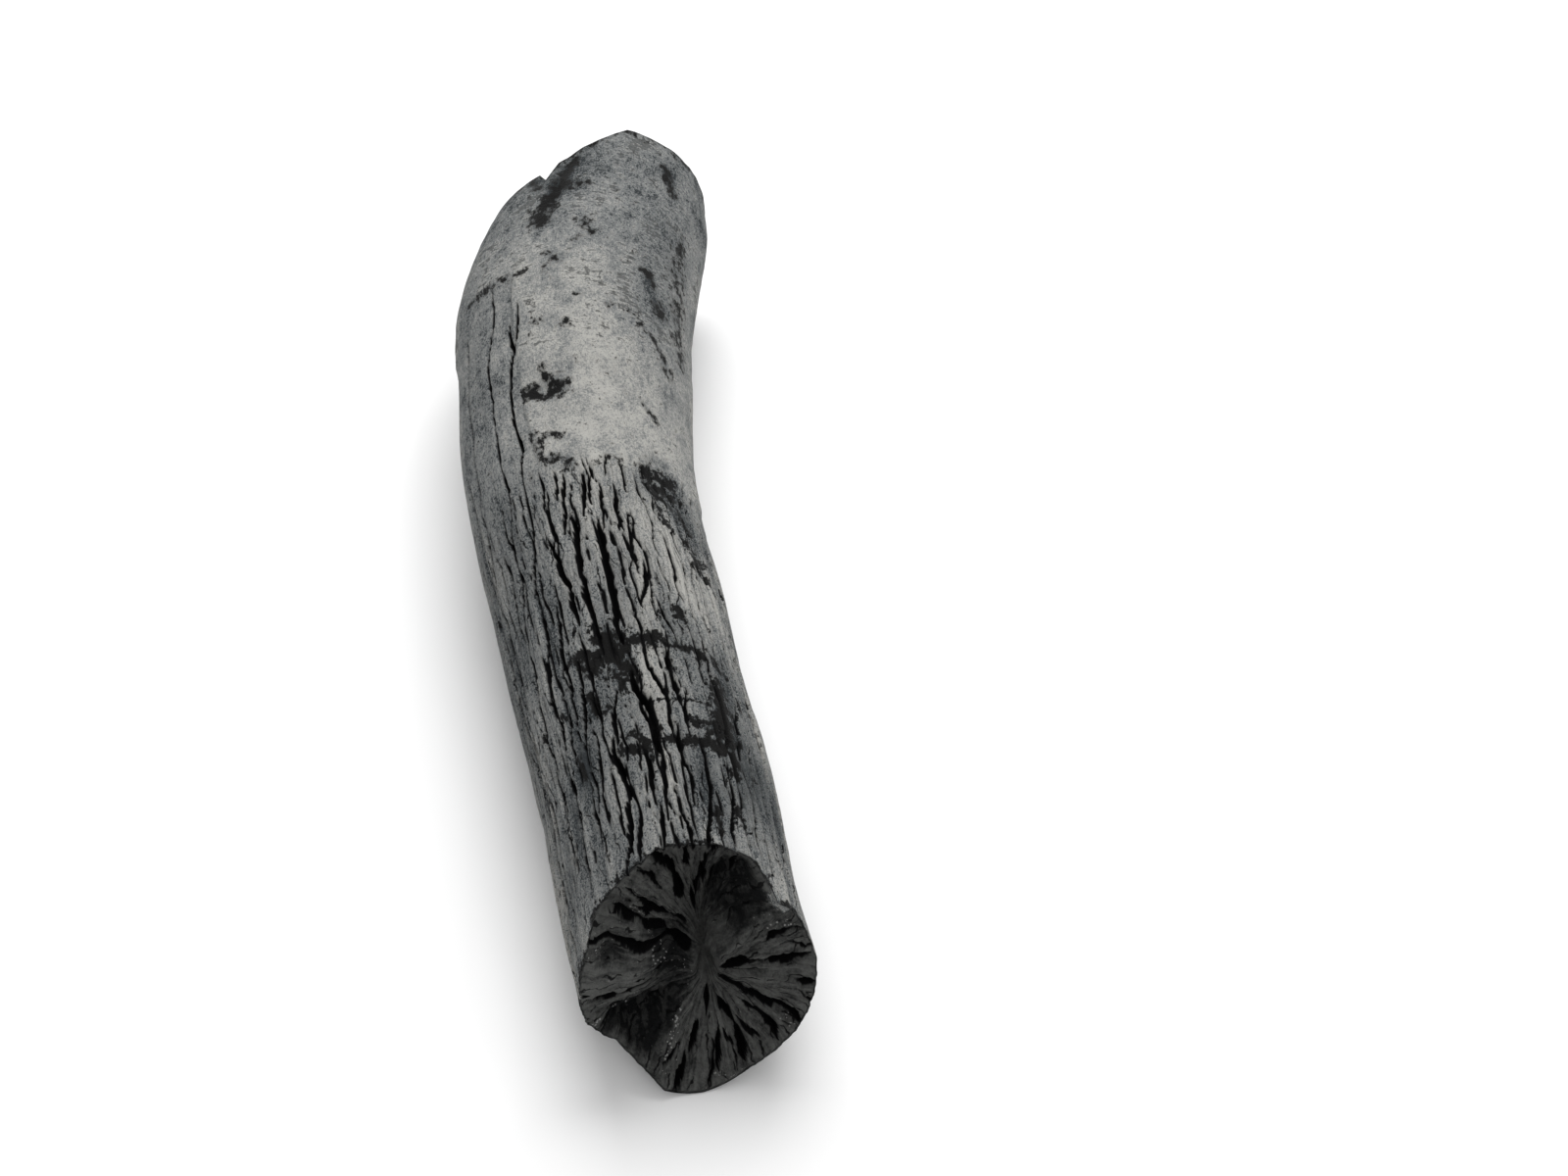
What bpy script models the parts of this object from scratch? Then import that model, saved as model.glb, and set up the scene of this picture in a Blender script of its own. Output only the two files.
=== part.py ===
"""A lump of white charcoal: a charred length of branch that lies on its side.

It is one piece. The branch is bowed, cracked along its grain, and broken across at both
ends, where radial checks run out from the pith. Sizes are in millimetres, and angles in
degrees. Stations run along the branch from its near end, and angles run round it: 0 is
up and 90 is +X. On a broken end, reach runs from 0 at the pith to 1 at the rim.
"""

import math

import bmesh
import bpy
import numpy as np

MM = 0.001

# The branch, every STATION_STEP from its near end to its far end.
STATION_STEP = 38.5
BOW = (16.5, 10.1, 2.5, -5.4, -11.1, -11.7, -7.9)  # how far its middle lies to +X
GIRTH = (21.8, 22.1, 22.6, 22.8, 23.7, 24.1, 22.6)  # its radius
BOX_MIDDLE = (0.3, 115.6)  # what to take off so that the origin is under the middle

# The three low spots that it rests on: station, and how deep each is worn flat.
REST_SPOTS = ((26.0, 0.75), (128.0, 0.75), (204.0, 0.75))
REST_SPOT_REACH = 17.0
CLEARANCE = 0.3  # the gap under the branch between the spots

# The rims of the broken ends: angle, station.
NEAR_RIM = (
    (-180, -1.2), (-160, -1.2), (-145, 2.4), (-132, 6.5), (-110, 5.5), (-85, 5.5),
    (-68, 7.5), (-60, 8.2), (-55, 11.4), (-50, 12.8), (-35, 14.6), (-28, 16.2),
    (-10, 19.0), (13, 18.4), (26, 18.0), (36, 16.5), (42, 12.5), (46, 8.8),
    (54, 9.0), (60, 11.0), (68, 9.0), (90, 5.0), (135, 1.5),
)  # fmt: skip
FAR_RIM = (
    (-180, 220.0), (-150, 214.0), (-120, 209.5), (-90, 209.0), (-60, 213.0),
    (-30, 218.5), (-25, 215.5), (-20, 221.5), (-8, 226.0), (5, 230.5), (15, 234.0),
    (60, 234.5), (90, 233.5), (130, 230.0), (155, 225.0),
)  # fmt: skip
FAR_WEAR = (1.2, 7.0)  # how far the far rim is rounded, and how far back that reaches

# The piths of the broken ends: off the branch's middle to +X and up.
NEAR_PITH = (2.5, 0.6)
FAR_PITH = (-1.8, 1.4)

# The near end broke in two levels. Between them are a sloping shelf, then a wall: the angle
# of each, and half of what it spans.
UPPER_LEVEL = ((-75, 12.0), (-55, 13.4), (-35, 17.0), (-15, 19.4), (30, 20.0), (60, 17.5))
LOWER_LEVEL = 8.1
SHELF = (-68.0, 9.0)
WALL = (52.0, 5.0)
HOOD = 0.8  # how far the upper level is hollowed

# Scoops in the broken ends: angle, reach, spread of each, and depth.
NEAR_SCOOPS = (
    (36.0, 0.58, 17.0, 0.30, 4.0),
    (-130.0, 0.66, 17.0, 0.36, 8.6),
    (-76.0, 0.26, 28.0, 0.15, 4.6),
    (-65.0, 0.80, 7.0, 0.11, 2.6),
)
FAR_LEVEL = 224.0
FAR_SCOOPS = (
    (-40.0, 0.55, 26.0, 0.34, 5.0),
    (150.0, 0.60, 30.0, 0.30, 4.0),
    (70.0, 0.30, 24.0, 0.18, 2.4),
)

# Where the smooth skin of ash begins: angle, station. It stands proud of the bare wood.
SKIN_EDGE = (
    (-180, 150.0), (-110, 172.0), (-62, 180.0), (-30, 178.0), (-25, 126.0), (-8, 119.0),
    (12, 122.0), (30, 121.0), (36, 128.0), (60, 120.0), (110, 130.0),
)  # fmt: skip
SKIN_THICKNESS = 0.5

# Pits in the skin: station, angle, half length, half width, depth.
PITS = (
    (144.0, -15.5, 2.6, 3.4, 1.6),
    (118.5, 36.0, 4.6, 3.6, 1.5),
    (209.0, -15.0, 13.0, 1.8, 1.2),
    (66.5, -14.0, 4.5, 3.6, 0.7),
    (172.0, 128.0, 4.0, 5.0, 1.6),
    (70.0, -140.0, 5.0, 4.0, 1.5),
    (2.0, -140.0, 9.0, 8.0, 2.8),
    (2.0, 148.0, 8.0, 8.0, 1.2),
)

# Cracks along the branch: width, then the station and angle of each of its points.
LONG_CRACKS = (
    (0.8, (176, -41), (156, -46), (126, -46), (104, -51), (85, -56), (60, -60), (25, -62)),
    (0.9, (165, -30), (150, -33.5), (123, -34), (107, -38), (98, -42), (90, -45)),
    (1.1, (86, -43), (73, -48), (47, -50), (35, -51.5), (18, -51)),
    (0.7, (170, -63), (132, -66), (104, -72), (70, -70)),
    (0.8, (96, -79), (62, -76), (30, -78)),
    (0.8, (168, -26), (158, -28)),
    (1.2, (86, -35), (63, -39)),
    (1.2, (68, -30), (51, -36)),
    (0.8, (50, -30), (29.5, -34)),
    (0.7, (38, -40), (26, -40)),
    (0.8, (115, -23), (102, -28)),
    (1.7, (103, -28), (92, -27), (80, -25)),
    (0.8, (62, -25), (54, -24)),
    (1.6, (47, -23), (34, -21), (17, -28)),
    (1.3, (118, -14), (104, -20)),
    (1.6, (106, -16), (91, -17)),
    (1.8, (90, -18), (80, -16), (71, -18)),
    (1.1, (59, -16), (48, -20)),
    (0.8, (29, -18), (18, -22)),
    (1.2, (118, -5), (107, -9)),
    (1.9, (103, -2.5), (72, -6.5)),
    (2.1, (62, -6), (52, -3), (43, -1)),
    (1.1, (43, -9.5), (37, -7), (31, -9)),
    (1.5, (28, -6), (19, -9)),
    (0.9, (43, -1), (28, -2.5)),
    (0.8, (114, 2), (104, -1)),
    (1.1, (67, 3), (60, 5), (46, 7)),
    (1.5, (29, 4), (19, 3)),
    (1.0, (113, 10), (102, 6)),
    (1.0, (105, 13), (97, 10), (90, 9)),
    (1.5, (90, 14), (80, 7)),
    (1.4, (48, 9), (30, 10)),
    (1.5, (67, 12.5), (54, 13.5)),
    (1.3, (56, 17.6), (46, 16)),
    (0.9, (81, 16), (70, 19)),
    (1.1, (43, 18), (34, 20), (25, 16), (17, 12)),
    (0.8, (40, 32), (18, 26)),
)  # fmt: skip

# Cracks on the sides that face away come by rule, in lanes round the branch.
HIDDEN_LANES = (66.0, 284.0, 9.0)  # first angle, last angle, spacing
HIDDEN_GAP = (4.0, 22.0)
HIDDEN_RUN = (12.0, 56.0)
HIDDEN_WIDTH = (0.8, 1.7)
HIDDEN_STOP = (-8.0, 30.0)  # how far short of the smooth skin a lane ends; below 0, under it
HIDDEN_STRAY = 2.8
BARE_ANGLE = 180.0  # the line that it rests on stays whole
BARE_SPREAD = 9.0

# Radial checks in the near end: angle, reach of each end, and width.
NEAR_CHECKS = (
    (-37, 0.15, 0.95, 1.3), (-25, 0.60, 0.95, 1.3), (-13, 0.30, 1.05, 1.9),
    (0, 0.10, 0.40, 0.9), (2, 0.65, 1.05, 1.6), (13, 0.45, 1.05, 1.3),
    (24, 0.30, 0.85, 0.9), (-50, 0.30, 0.90, 0.9), (82, 0.10, 0.98, 2.2),
    (108, 0.80, 1.05, 0.9), (119, 0.10, 1.02, 1.5), (132, 0.45, 0.97, 1.5),
    (153, 0.25, 0.97, 1.7), (169, 0.45, 0.90, 1.0), (180, 0.12, 0.42, 1.2),
    (-172, 0.42, 0.75, 1.3), (-165, 0.65, 1.05, 1.4), (-94, 0.42, 0.97, 1.5),
    (-82, 0.30, 0.70, 0.9), (-61, 0.08, 1.02, 1.4),
)  # fmt: skip
FAR_CHECK_STEP = 15.0
FAR_CHECK_WIDTH = (0.9, 2.0)

SEED = 7
CRACK_DEPTH_RATIO = 2.0
MOST_CRACK_DEPTH = 3.6
CRACK_FADE = 5.0  # over which a crack along the branch closes at its ends
CHECK_FADE = 0.12  # the same for a radial check, as reach
SWAY = (23.0, 0.7)  # wavelength and swing of a crack's path, in degrees
ZIGZAG = (4.5, 1.3)  # how often it turns, and how far it goes to each side
ZIGZAG_TURNS = 60
PINCH_SPREAD = 4.4  # how wide round a crack the columns of the mesh are drawn to it
PINCH = 0.66

# The solid's mesh: a sphere's columns and rings.
COLUMNS = 92
NEAR_RINGS = 10
SIDE_SPANS = 44
FAR_RINGS = 6

CHARCOAL_COLOUR = (0.20, 0.20, 0.195, 1.0)
CHARCOAL_ROUGHNESS = 0.85


def smooth_step(value, low, high):
    """Runs from 0 at low to 1 at high, with soft ends."""
    share = np.clip((value - low) / (high - low), 0.0, 1.0)
    return share * share * (3.0 - 2.0 * share)


def bump(distance, spread):
    """A soft bell, 1 in its middle."""
    return np.exp(-((distance / spread) ** 2))


def turn(angle):
    """The angle, brought between -180 and 180 degrees."""
    return (angle + 180.0) % 360.0 - 180.0


def along_branch(values, station):
    """A Catmull-Rom curve through values that stand every STATION_STEP."""
    knots = np.array([2 * values[0] - values[1], *values, 2 * values[-1] - values[-2]])
    place = np.asarray(station, float) / STATION_STEP
    first = np.clip(np.floor(place).astype(int), 0, len(values) - 2)
    f = place - first
    a, b, c, d = (knots[first + k] for k in range(4))
    return b + 0.5 * f * (c - a + f * (2 * a - 5 * b + 4 * c - d + f * (3 * (b - c) + d - a)))


def round_branch(points, angle):
    """The station at each angle, along straight lines between points that close round."""
    angles = [a for a, _ in points]
    stations = [s for _, s in points]
    return np.interp(angle, angles, stations, period=360.0)


def hidden_cracks():
    """Cracks along the sides that the hand-placed ones leave out."""
    draw = np.random.default_rng(SEED)
    first, last, spacing = HIDDEN_LANES
    cracks = []
    for lane in np.arange(first, last, spacing):
        last_end = round_branch(SKIN_EDGE, lane) - draw.uniform(*HIDDEN_STOP)
        station = draw.uniform(*HIDDEN_GAP)
        while station < last_end - HIDDEN_RUN[0]:
            end = min(station + draw.uniform(*HIDDEN_RUN), last_end)
            angles = lane + draw.uniform(-HIDDEN_STRAY, HIDDEN_STRAY, 2)
            width = draw.uniform(*HIDDEN_WIDTH)
            if abs(lane - BARE_ANGLE) > BARE_SPREAD:
                cracks.append((width, (end, angles[0]), (station, angles[1])))
            station = end + draw.uniform(*HIDDEN_GAP)
    return tuple(cracks)


def far_checks():
    """Radial checks in the far end."""
    draw = np.random.default_rng(SEED + 1)
    checks = []
    for angle in np.arange(-180.0, 180.0, FAR_CHECK_STEP):
        start = draw.uniform(0.15, 0.5)
        end = draw.uniform(start + 0.3, 1.05)
        checks.append((angle + draw.uniform(-4.0, 4.0), start, end, draw.uniform(*FAR_CHECK_WIDTH)))
    return tuple(checks)


def wander(along, seed):
    """How far a crack strays from its path, in degrees."""
    wavelength, swing = SWAY
    sway = swing * np.sin(2 * math.pi * along / wavelength + 2.4 * seed)
    step, reach = ZIGZAG
    turns = np.random.default_rng(seed).uniform(-reach, reach, ZIGZAG_TURNS)
    return sway + np.interp(along / step, np.arange(ZIGZAG_TURNS), turns)


def long_paths(cracks, station):
    """For each crack along the branch: its angle and how open it is at each station."""
    paths = []
    for seed, (width, *points) in enumerate(cracks):
        points = sorted(points)
        stations = [s for s, _ in points]
        angle = np.interp(station, stations, [a for _, a in points]) + wander(station, seed)
        inside = np.minimum(station - stations[0], stations[-1] - station) / CRACK_FADE
        paths.append((angle, width * np.clip(inside, 0.0, 1.0) ** 0.6))
    return paths


def check_paths(checks, reach):
    """For each radial check: its angle and how open it is at each reach."""
    paths = []
    for seed, (angle, start, end, width) in enumerate(checks):
        inside = np.minimum(reach - start, end - reach) / CHECK_FADE
        stray = 2.0 * np.sin(9.0 * reach + seed)
        paths.append((angle + stray, width * np.clip(inside, 0.0, 1.0) ** 0.6))
    return paths


def pinch(angle, paths):
    """Draws the mesh's columns towards the open cracks, so that each groove is crisp."""
    pull = 0.0
    weight = 0.0
    for path, width in paths:
        off = turn(angle - path)
        near = bump(off, PINCH_SPREAD) * np.clip(width, 0.0, 1.0)
        pull = pull + near * off
        weight = weight + near
    return angle - PINCH * pull / np.maximum(weight, 1.0)


def groove_depth(angle, radius, paths):
    """How deep the deepest crack is at each point."""
    depth = np.zeros_like(angle)
    for path, width in paths:
        off = np.abs(np.radians(turn(angle - path))) * radius / (0.5 * width + 1e-6)
        full = np.minimum(CRACK_DEPTH_RATIO * width, MOST_CRACK_DEPTH)
        depth = np.maximum(depth, full * np.clip(1.0 - off, 0.0, 1.0) ** 0.7)
    return depth


def skin_radius(station, angle):
    """The radius of the branch, without its cracks."""
    turned = np.radians(angle)
    lobes = 0.014 * np.cos(2 * turned - 0.8 + station / 70.0)
    lobes = lobes + 0.008 * np.cos(3 * turned + 1.3 - station / 45.0)
    ripple = 0.25 * np.sin(station / 8.5 + 2.0 * np.sin(turned + 0.7))
    radius = along_branch(GIRTH, station) * (1.0 + lobes) + ripple
    edge = round_branch(SKIN_EDGE, angle)
    radius = radius + SKIN_THICKNESS * (smooth_step(station, edge - 1.5, edge + 1.5) - 0.5)
    worn, reach = FAR_WEAR
    radius = radius - worn * bump(round_branch(FAR_RIM, angle) - station, reach)
    for pit, pit_angle, half_length, half_width, depth in PITS:
        off = np.radians(turn(angle - pit_angle)) * radius
        radius = radius - depth * bump(station - pit, half_length) * bump(off, half_width)
    return radius


def middle_height(station):
    """The height of the branch's middle, which dips at the rest spots."""
    height = skin_radius(station, np.full_like(station, BARE_ANGLE)) + CLEARANCE
    for spot, worn in REST_SPOTS:
        height = height - worn * bump(station - spot, REST_SPOT_REACH)
    return height


def place(station, across, up):
    """A point of the part, from its station and its offsets from the branch's middle."""
    slope = along_branch(BOW, station + 0.5) - along_branch(BOW, station - 0.5)
    norm = np.sqrt(1.0 + slope**2)
    x = along_branch(BOW, station) + across / norm - BOX_MIDDLE[0]
    y = station - across * slope / norm - BOX_MIDDLE[1]
    z = np.maximum(middle_height(station) + up, 0.0)
    return np.stack([x, y, z], axis=-1)


def side_points(share, angle):
    """Points of the side, for a share of the way from the near rim to the far rim."""
    cracks = LONG_CRACKS + hidden_cracks()
    near = round_branch(NEAR_RIM, angle)
    station = near + share * (round_branch(FAR_RIM, angle) - near)
    angle = pinch(angle, long_paths(cracks, station))
    near = round_branch(NEAR_RIM, angle)
    station = near + share * (round_branch(FAR_RIM, angle) - near)
    radius = grooved_radius(station, angle)
    turned = np.radians(angle)
    return place(station, radius * np.sin(turned), radius * np.cos(turned))


def grooved_radius(station, angle):
    """The radius of the branch, with the cracks along it."""
    radius = skin_radius(station, angle)
    paths = long_paths(LONG_CRACKS + hidden_cracks(), station)
    return radius - groove_depth(angle, radius, paths)


def scoop_depth(scoops, reach, angle):
    """How deep the scoops are at each point of a broken end."""
    depth = np.zeros_like(angle)
    for middle, middle_reach, spread, reach_spread, sunk in scoops:
        across = bump(turn(angle - middle), spread)
        depth = depth + sunk * across * bump(reach - middle_reach, reach_spread)
    return depth * (1.0 - smooth_step(reach, 0.85, 1.0))


def ramp(angle, place):
    """Rises from 0 to 1 over a shelf or a wall, given its angle and half its span."""
    middle, half = place
    return smooth_step(turn(angle), middle - half, middle + half)


def near_station(reach, angle):
    """The station of the near end's broken face, without its checks."""
    upper = ramp(angle, SHELF) - ramp(angle, WALL)
    level = LOWER_LEVEL + (round_branch(UPPER_LEVEL, angle) - LOWER_LEVEL) * upper
    middle = 0.5 * (LOWER_LEVEL + round_branch(UPPER_LEVEL, 0.0))
    level = middle + (level - middle) * smooth_step(reach, 0.0, 0.12)
    station = level + (round_branch(NEAR_RIM, angle) - level) * reach
    station = station + HOOD * upper * np.sin(math.pi * reach)
    return station + scoop_depth(NEAR_SCOOPS, reach, angle)


def far_station(reach, angle):
    """The station of the far end's broken face, without its checks."""
    rim = round_branch(FAR_RIM, angle)
    station = FAR_LEVEL + (rim - FAR_LEVEL) * reach**1.6
    return station - scoop_depth(FAR_SCOOPS, reach, angle)


def end_points(reach, angle, rim, station_of, pith, checks, inward):
    """Points of a broken end, for a reach from the pith to the rim."""
    paths = check_paths(checks, reach)
    angle = pinch(angle, paths)
    radius = grooved_radius(round_branch(rim, angle), angle)
    turned = np.radians(angle)
    across = pith[0] + reach * (radius * np.sin(turned) - pith[0])
    up = pith[1] + reach * (radius * np.cos(turned) - pith[1])
    depth = groove_depth(angle, radius * reach, paths) * smooth_step(reach, 0.0, 0.2)
    return place(station_of(reach, angle) + inward * depth, across, up)


def charcoal_points(ring, angle):
    """Points of the whole surface, for the rings and columns of a sphere."""
    first = NEAR_RINGS
    last = NEAR_RINGS + SIDE_SPANS
    points = np.zeros((len(ring), 3))
    near = ring < first
    reach = ring[near] / first
    points[near] = end_points(
        reach, angle[near], NEAR_RIM, near_station, NEAR_PITH, NEAR_CHECKS, 1.0
    )
    side = (ring >= first) & (ring <= last)
    points[side] = side_points((ring[side] - first) / SIDE_SPANS, angle[side])
    far = ring > last
    reach = (last + FAR_RINGS - ring[far]) / FAR_RINGS
    points[far] = end_points(
        reach, angle[far], FAR_RIM, far_station, FAR_PITH, far_checks(), -1.0
    )
    return points


def charcoal_material():
    material = bpy.data.materials.new("ashen_charcoal")
    material.use_nodes = True
    shader = material.node_tree.nodes["Principled BSDF"]
    shader.inputs["Base Color"].default_value = CHARCOAL_COLOUR
    shader.inputs["Roughness"].default_value = CHARCOAL_ROUGHNESS
    shader.inputs["Metallic"].default_value = 0.0
    return material


def charcoal_lump():
    """A sphere whose poles become the two piths, and whose rings become the branch."""
    rings = NEAR_RINGS + SIDE_SPANS + FAR_RINGS
    sphere = bmesh.new()
    bmesh.ops.create_uvsphere(sphere, u_segments=COLUMNS, v_segments=rings, radius=1.0)
    x, y, z = np.array([vertex.co for vertex in sphere.verts]).T
    ring = np.rint(np.arccos(np.clip(z, -1.0, 1.0)) / math.pi * rings)
    angle = -np.degrees(np.arctan2(y, x))
    for vertex, point in zip(sphere.verts, charcoal_points(ring, angle)):
        vertex.co = point * MM
    mesh = bpy.data.meshes.new("charcoal_lump")
    sphere.to_mesh(mesh)
    sphere.free()
    mesh.shade_smooth()
    mesh.materials.append(charcoal_material())
    return bpy.data.objects.new("charcoal_lump", mesh)


def main():
    for old in list(bpy.data.objects):
        bpy.data.objects.remove(old)
    collection = bpy.data.collections.new("charcoal_lump")
    bpy.context.scene.collection.children.link(collection)
    collection.objects.link(charcoal_lump())


main()
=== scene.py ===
"""The looks of a stick of white charcoal that lies on its side.

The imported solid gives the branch's form. Here it gets its fine surface: hairline cracks,
fibres, the flaky skin of ash, soot marks and the checked black ends. Sizes in the classes
are millimetres and degrees. Stations run along the branch from its near end, and angles
run round it: 0 is up and 90 is +X. On a broken end, reach runs from 0 at the pith to 1 at
the rim.
"""

import logging
import math
from dataclasses import dataclass, field
from enum import Enum
from functools import reduce
from operator import add

import bmesh
import bpy
import numpy as np
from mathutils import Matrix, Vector


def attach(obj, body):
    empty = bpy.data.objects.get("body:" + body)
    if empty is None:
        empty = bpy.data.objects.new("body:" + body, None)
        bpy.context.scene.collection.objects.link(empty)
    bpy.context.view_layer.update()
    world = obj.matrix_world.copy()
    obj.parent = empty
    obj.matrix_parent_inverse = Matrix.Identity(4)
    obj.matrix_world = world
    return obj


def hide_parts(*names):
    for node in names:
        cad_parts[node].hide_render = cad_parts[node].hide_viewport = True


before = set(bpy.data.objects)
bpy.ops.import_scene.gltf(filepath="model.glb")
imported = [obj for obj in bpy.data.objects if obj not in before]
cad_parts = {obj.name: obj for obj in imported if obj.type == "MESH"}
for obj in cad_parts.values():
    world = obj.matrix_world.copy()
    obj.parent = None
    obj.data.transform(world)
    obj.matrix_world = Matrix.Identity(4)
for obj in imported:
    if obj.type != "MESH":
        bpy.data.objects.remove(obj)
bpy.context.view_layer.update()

MM = 0.001
NODE = "charcoal_lump"

Array = np.ndarray
Point = tuple[float, float]
Colour = tuple[float, float, float, float]

log = logging.getLogger("charcoal")


def smooth_step(value: Array, low: Array | float, high: Array | float) -> Array:
    """Runs from 0 at low to 1 at high, with soft ends.

    Args:
        value: what to grade.
        low: where the result is 0.
        high: where the result is 1.

    Returns:
        The graded values.
    """
    share = np.clip((value - low) / (high - low), 0.0, 1.0)
    return share * share * (3.0 - 2.0 * share)


def bump(distance: Array, spread: float) -> Array:
    """A soft bell that is 1 in its middle.

    Args:
        distance: how far each point is from the middle.
        spread: the distance at which the bell has fallen to about a third.

    Returns:
        The bell's height at each point.
    """
    return np.exp(-((distance / spread) ** 2))


def turn(angle: Array) -> Array:
    """The angle, brought between -180 and 180 degrees.

    Args:
        angle: angles in degrees.

    Returns:
        The same directions between -180 and 180.
    """
    return (angle + 180.0) % 360.0 - 180.0


def round_branch(points: tuple[Point, ...], angle: Array) -> Array:
    """A line through points that closes round the branch.

    Args:
        points: angle and value of each point.
        angle: where to read the line.

    Returns:
        The value at each angle.
    """
    angles = [a for a, _ in points]
    values = [v for _, v in points]
    return np.interp(angle, angles, values, period=360.0)


def ramp(angle: Array, place: Point) -> Array:
    """Rises from 0 to 1 over a shelf or a wall.

    Args:
        angle: where round the pith.
        place: the angle of its middle, and half its span.

    Returns:
        The share of the rise at each angle.
    """
    middle, half = place
    return smooth_step(turn(angle), middle - half, middle + half)


@dataclass(frozen=True)
class Layer:
    """A layer of noise: its strength, and its cells' size along and, in degrees, round."""

    strength: float
    along: float
    round_: float


@dataclass
class Grain:
    """Seeded noise over the branch's side, smooth and closed round it."""

    seed: int
    length: float = 260.0

    def __post_init__(self) -> None:
        """Starts the draw."""
        self.draw = np.random.default_rng(self.seed)

    def noise(self, station: Array, angle: Array, along: float, round_: float) -> Array:
        """One layer of noise.

        Args:
            station: where along the branch.
            angle: where round it.
            along: the size of a cell along the branch.
            round_: the size of a cell round it, in degrees.

        Returns:
            Values from -1 to 1.
        """
        rows = int(self.length / along) + 3
        columns = max(4, round(360.0 / round_))
        cells = self.draw.uniform(-1.0, 1.0, (rows, columns))
        v = np.clip((station + 10.0) / along, 0.0, rows - 1.001)
        u = (angle % 360.0) / 360.0 * columns
        row = np.floor(v).astype(int)
        column = np.floor(u).astype(int)
        fv = smooth_step(v - row, 0.0, 1.0)
        fu = smooth_step(u - column, 0.0, 1.0)
        after = (column + 1) % columns
        column = column % columns
        near = cells[row, column] * (1 - fu) + cells[row, after] * fu
        far = cells[row + 1, column] * (1 - fu) + cells[row + 1, after] * fu
        return near * (1 - fv) + far * fv

    def layers(self, station: Array, angle: Array, layers: tuple[Layer, ...]) -> Array:
        """Layers of noise, added up.

        Args:
            station: where along the branch.
            angle: where round it.
            layers: the layers, in the order of their draws.

        Returns:
            The sum at each point.
        """
        parts = (k.strength * self.noise(station, angle, k.along, k.round_) for k in layers)
        return reduce(add, parts)


@dataclass(frozen=True)
class Crack:
    """A crack along the branch."""

    width: float
    points: tuple[Point, ...]


def cracks_of(rows: tuple[tuple, ...]) -> tuple[Crack, ...]:
    """Cracks from rows of a width and then points.

    Args:
        rows: for each crack its width, then the station and angle of each point.

    Returns:
        The cracks.
    """
    return tuple(Crack(width, tuple(sorted(points))) for width, *points in rows)


LONG_CRACKS = cracks_of((
    (0.8, (176, -41), (156, -46), (126, -46), (104, -51), (85, -56), (60, -60), (25, -62)),
    (0.9, (165, -30), (150, -33.5), (123, -34), (107, -38), (98, -42), (90, -45)),
    (1.1, (86, -43), (73, -48), (47, -50), (35, -51.5), (18, -51)),
    (0.7, (170, -63), (132, -66), (104, -72), (70, -70)),
    (0.8, (96, -79), (62, -76), (30, -78)),
    (0.8, (168, -26), (158, -28)),
    (1.2, (86, -35), (63, -39)),
    (1.2, (68, -30), (51, -36)),
    (0.8, (50, -30), (29.5, -34)),
    (0.7, (38, -40), (26, -40)),
    (0.8, (115, -23), (102, -28)),
    (1.7, (103, -28), (92, -27), (80, -25)),
    (0.8, (62, -25), (54, -24)),
    (1.6, (47, -23), (34, -21), (17, -28)),
    (1.3, (118, -14), (104, -20)),
    (1.6, (106, -16), (91, -17)),
    (1.8, (90, -18), (80, -16), (71, -18)),
    (1.1, (59, -16), (48, -20)),
    (0.8, (29, -18), (18, -22)),
    (1.2, (118, -5), (107, -9)),
    (1.9, (103, -2.5), (72, -6.5)),
    (2.1, (62, -6), (52, -3), (43, -1)),
    (1.1, (43, -9.5), (37, -7), (31, -9)),
    (1.5, (28, -6), (19, -9)),
    (0.9, (43, -1), (28, -2.5)),
    (0.8, (114, 2), (104, -1)),
    (1.1, (67, 3), (60, 5), (46, 7)),
    (1.5, (29, 4), (19, 3)),
    (1.0, (113, 10), (102, 6)),
    (1.0, (105, 13), (97, 10), (90, 9)),
    (1.5, (90, 14), (80, 7)),
    (1.4, (48, 9), (30, 10)),
    (1.5, (67, 12.5), (54, 13.5)),
    (1.3, (56, 17.6), (46, 16)),
    (0.9, (81, 16), (70, 19)),
    (1.1, (43, 18), (34, 20), (25, 16), (17, 12)),
    (0.8, (40, 32), (18, 26)),
))  # fmt: skip


SKIN_EDGE = (
    (-180, 150.0), (-110, 172.0), (-62, 180.0), (-30, 178.0), (-25, 126.0), (-8, 119.0),
    (12, 122.0), (30, 121.0), (36, 128.0), (60, 120.0), (110, 130.0),
)  # fmt: skip


@dataclass
class Trace:
    """Where one crack runs: the points that it can reach, and its angle and width there."""

    where: Array
    angle: Array
    width: Array


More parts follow.
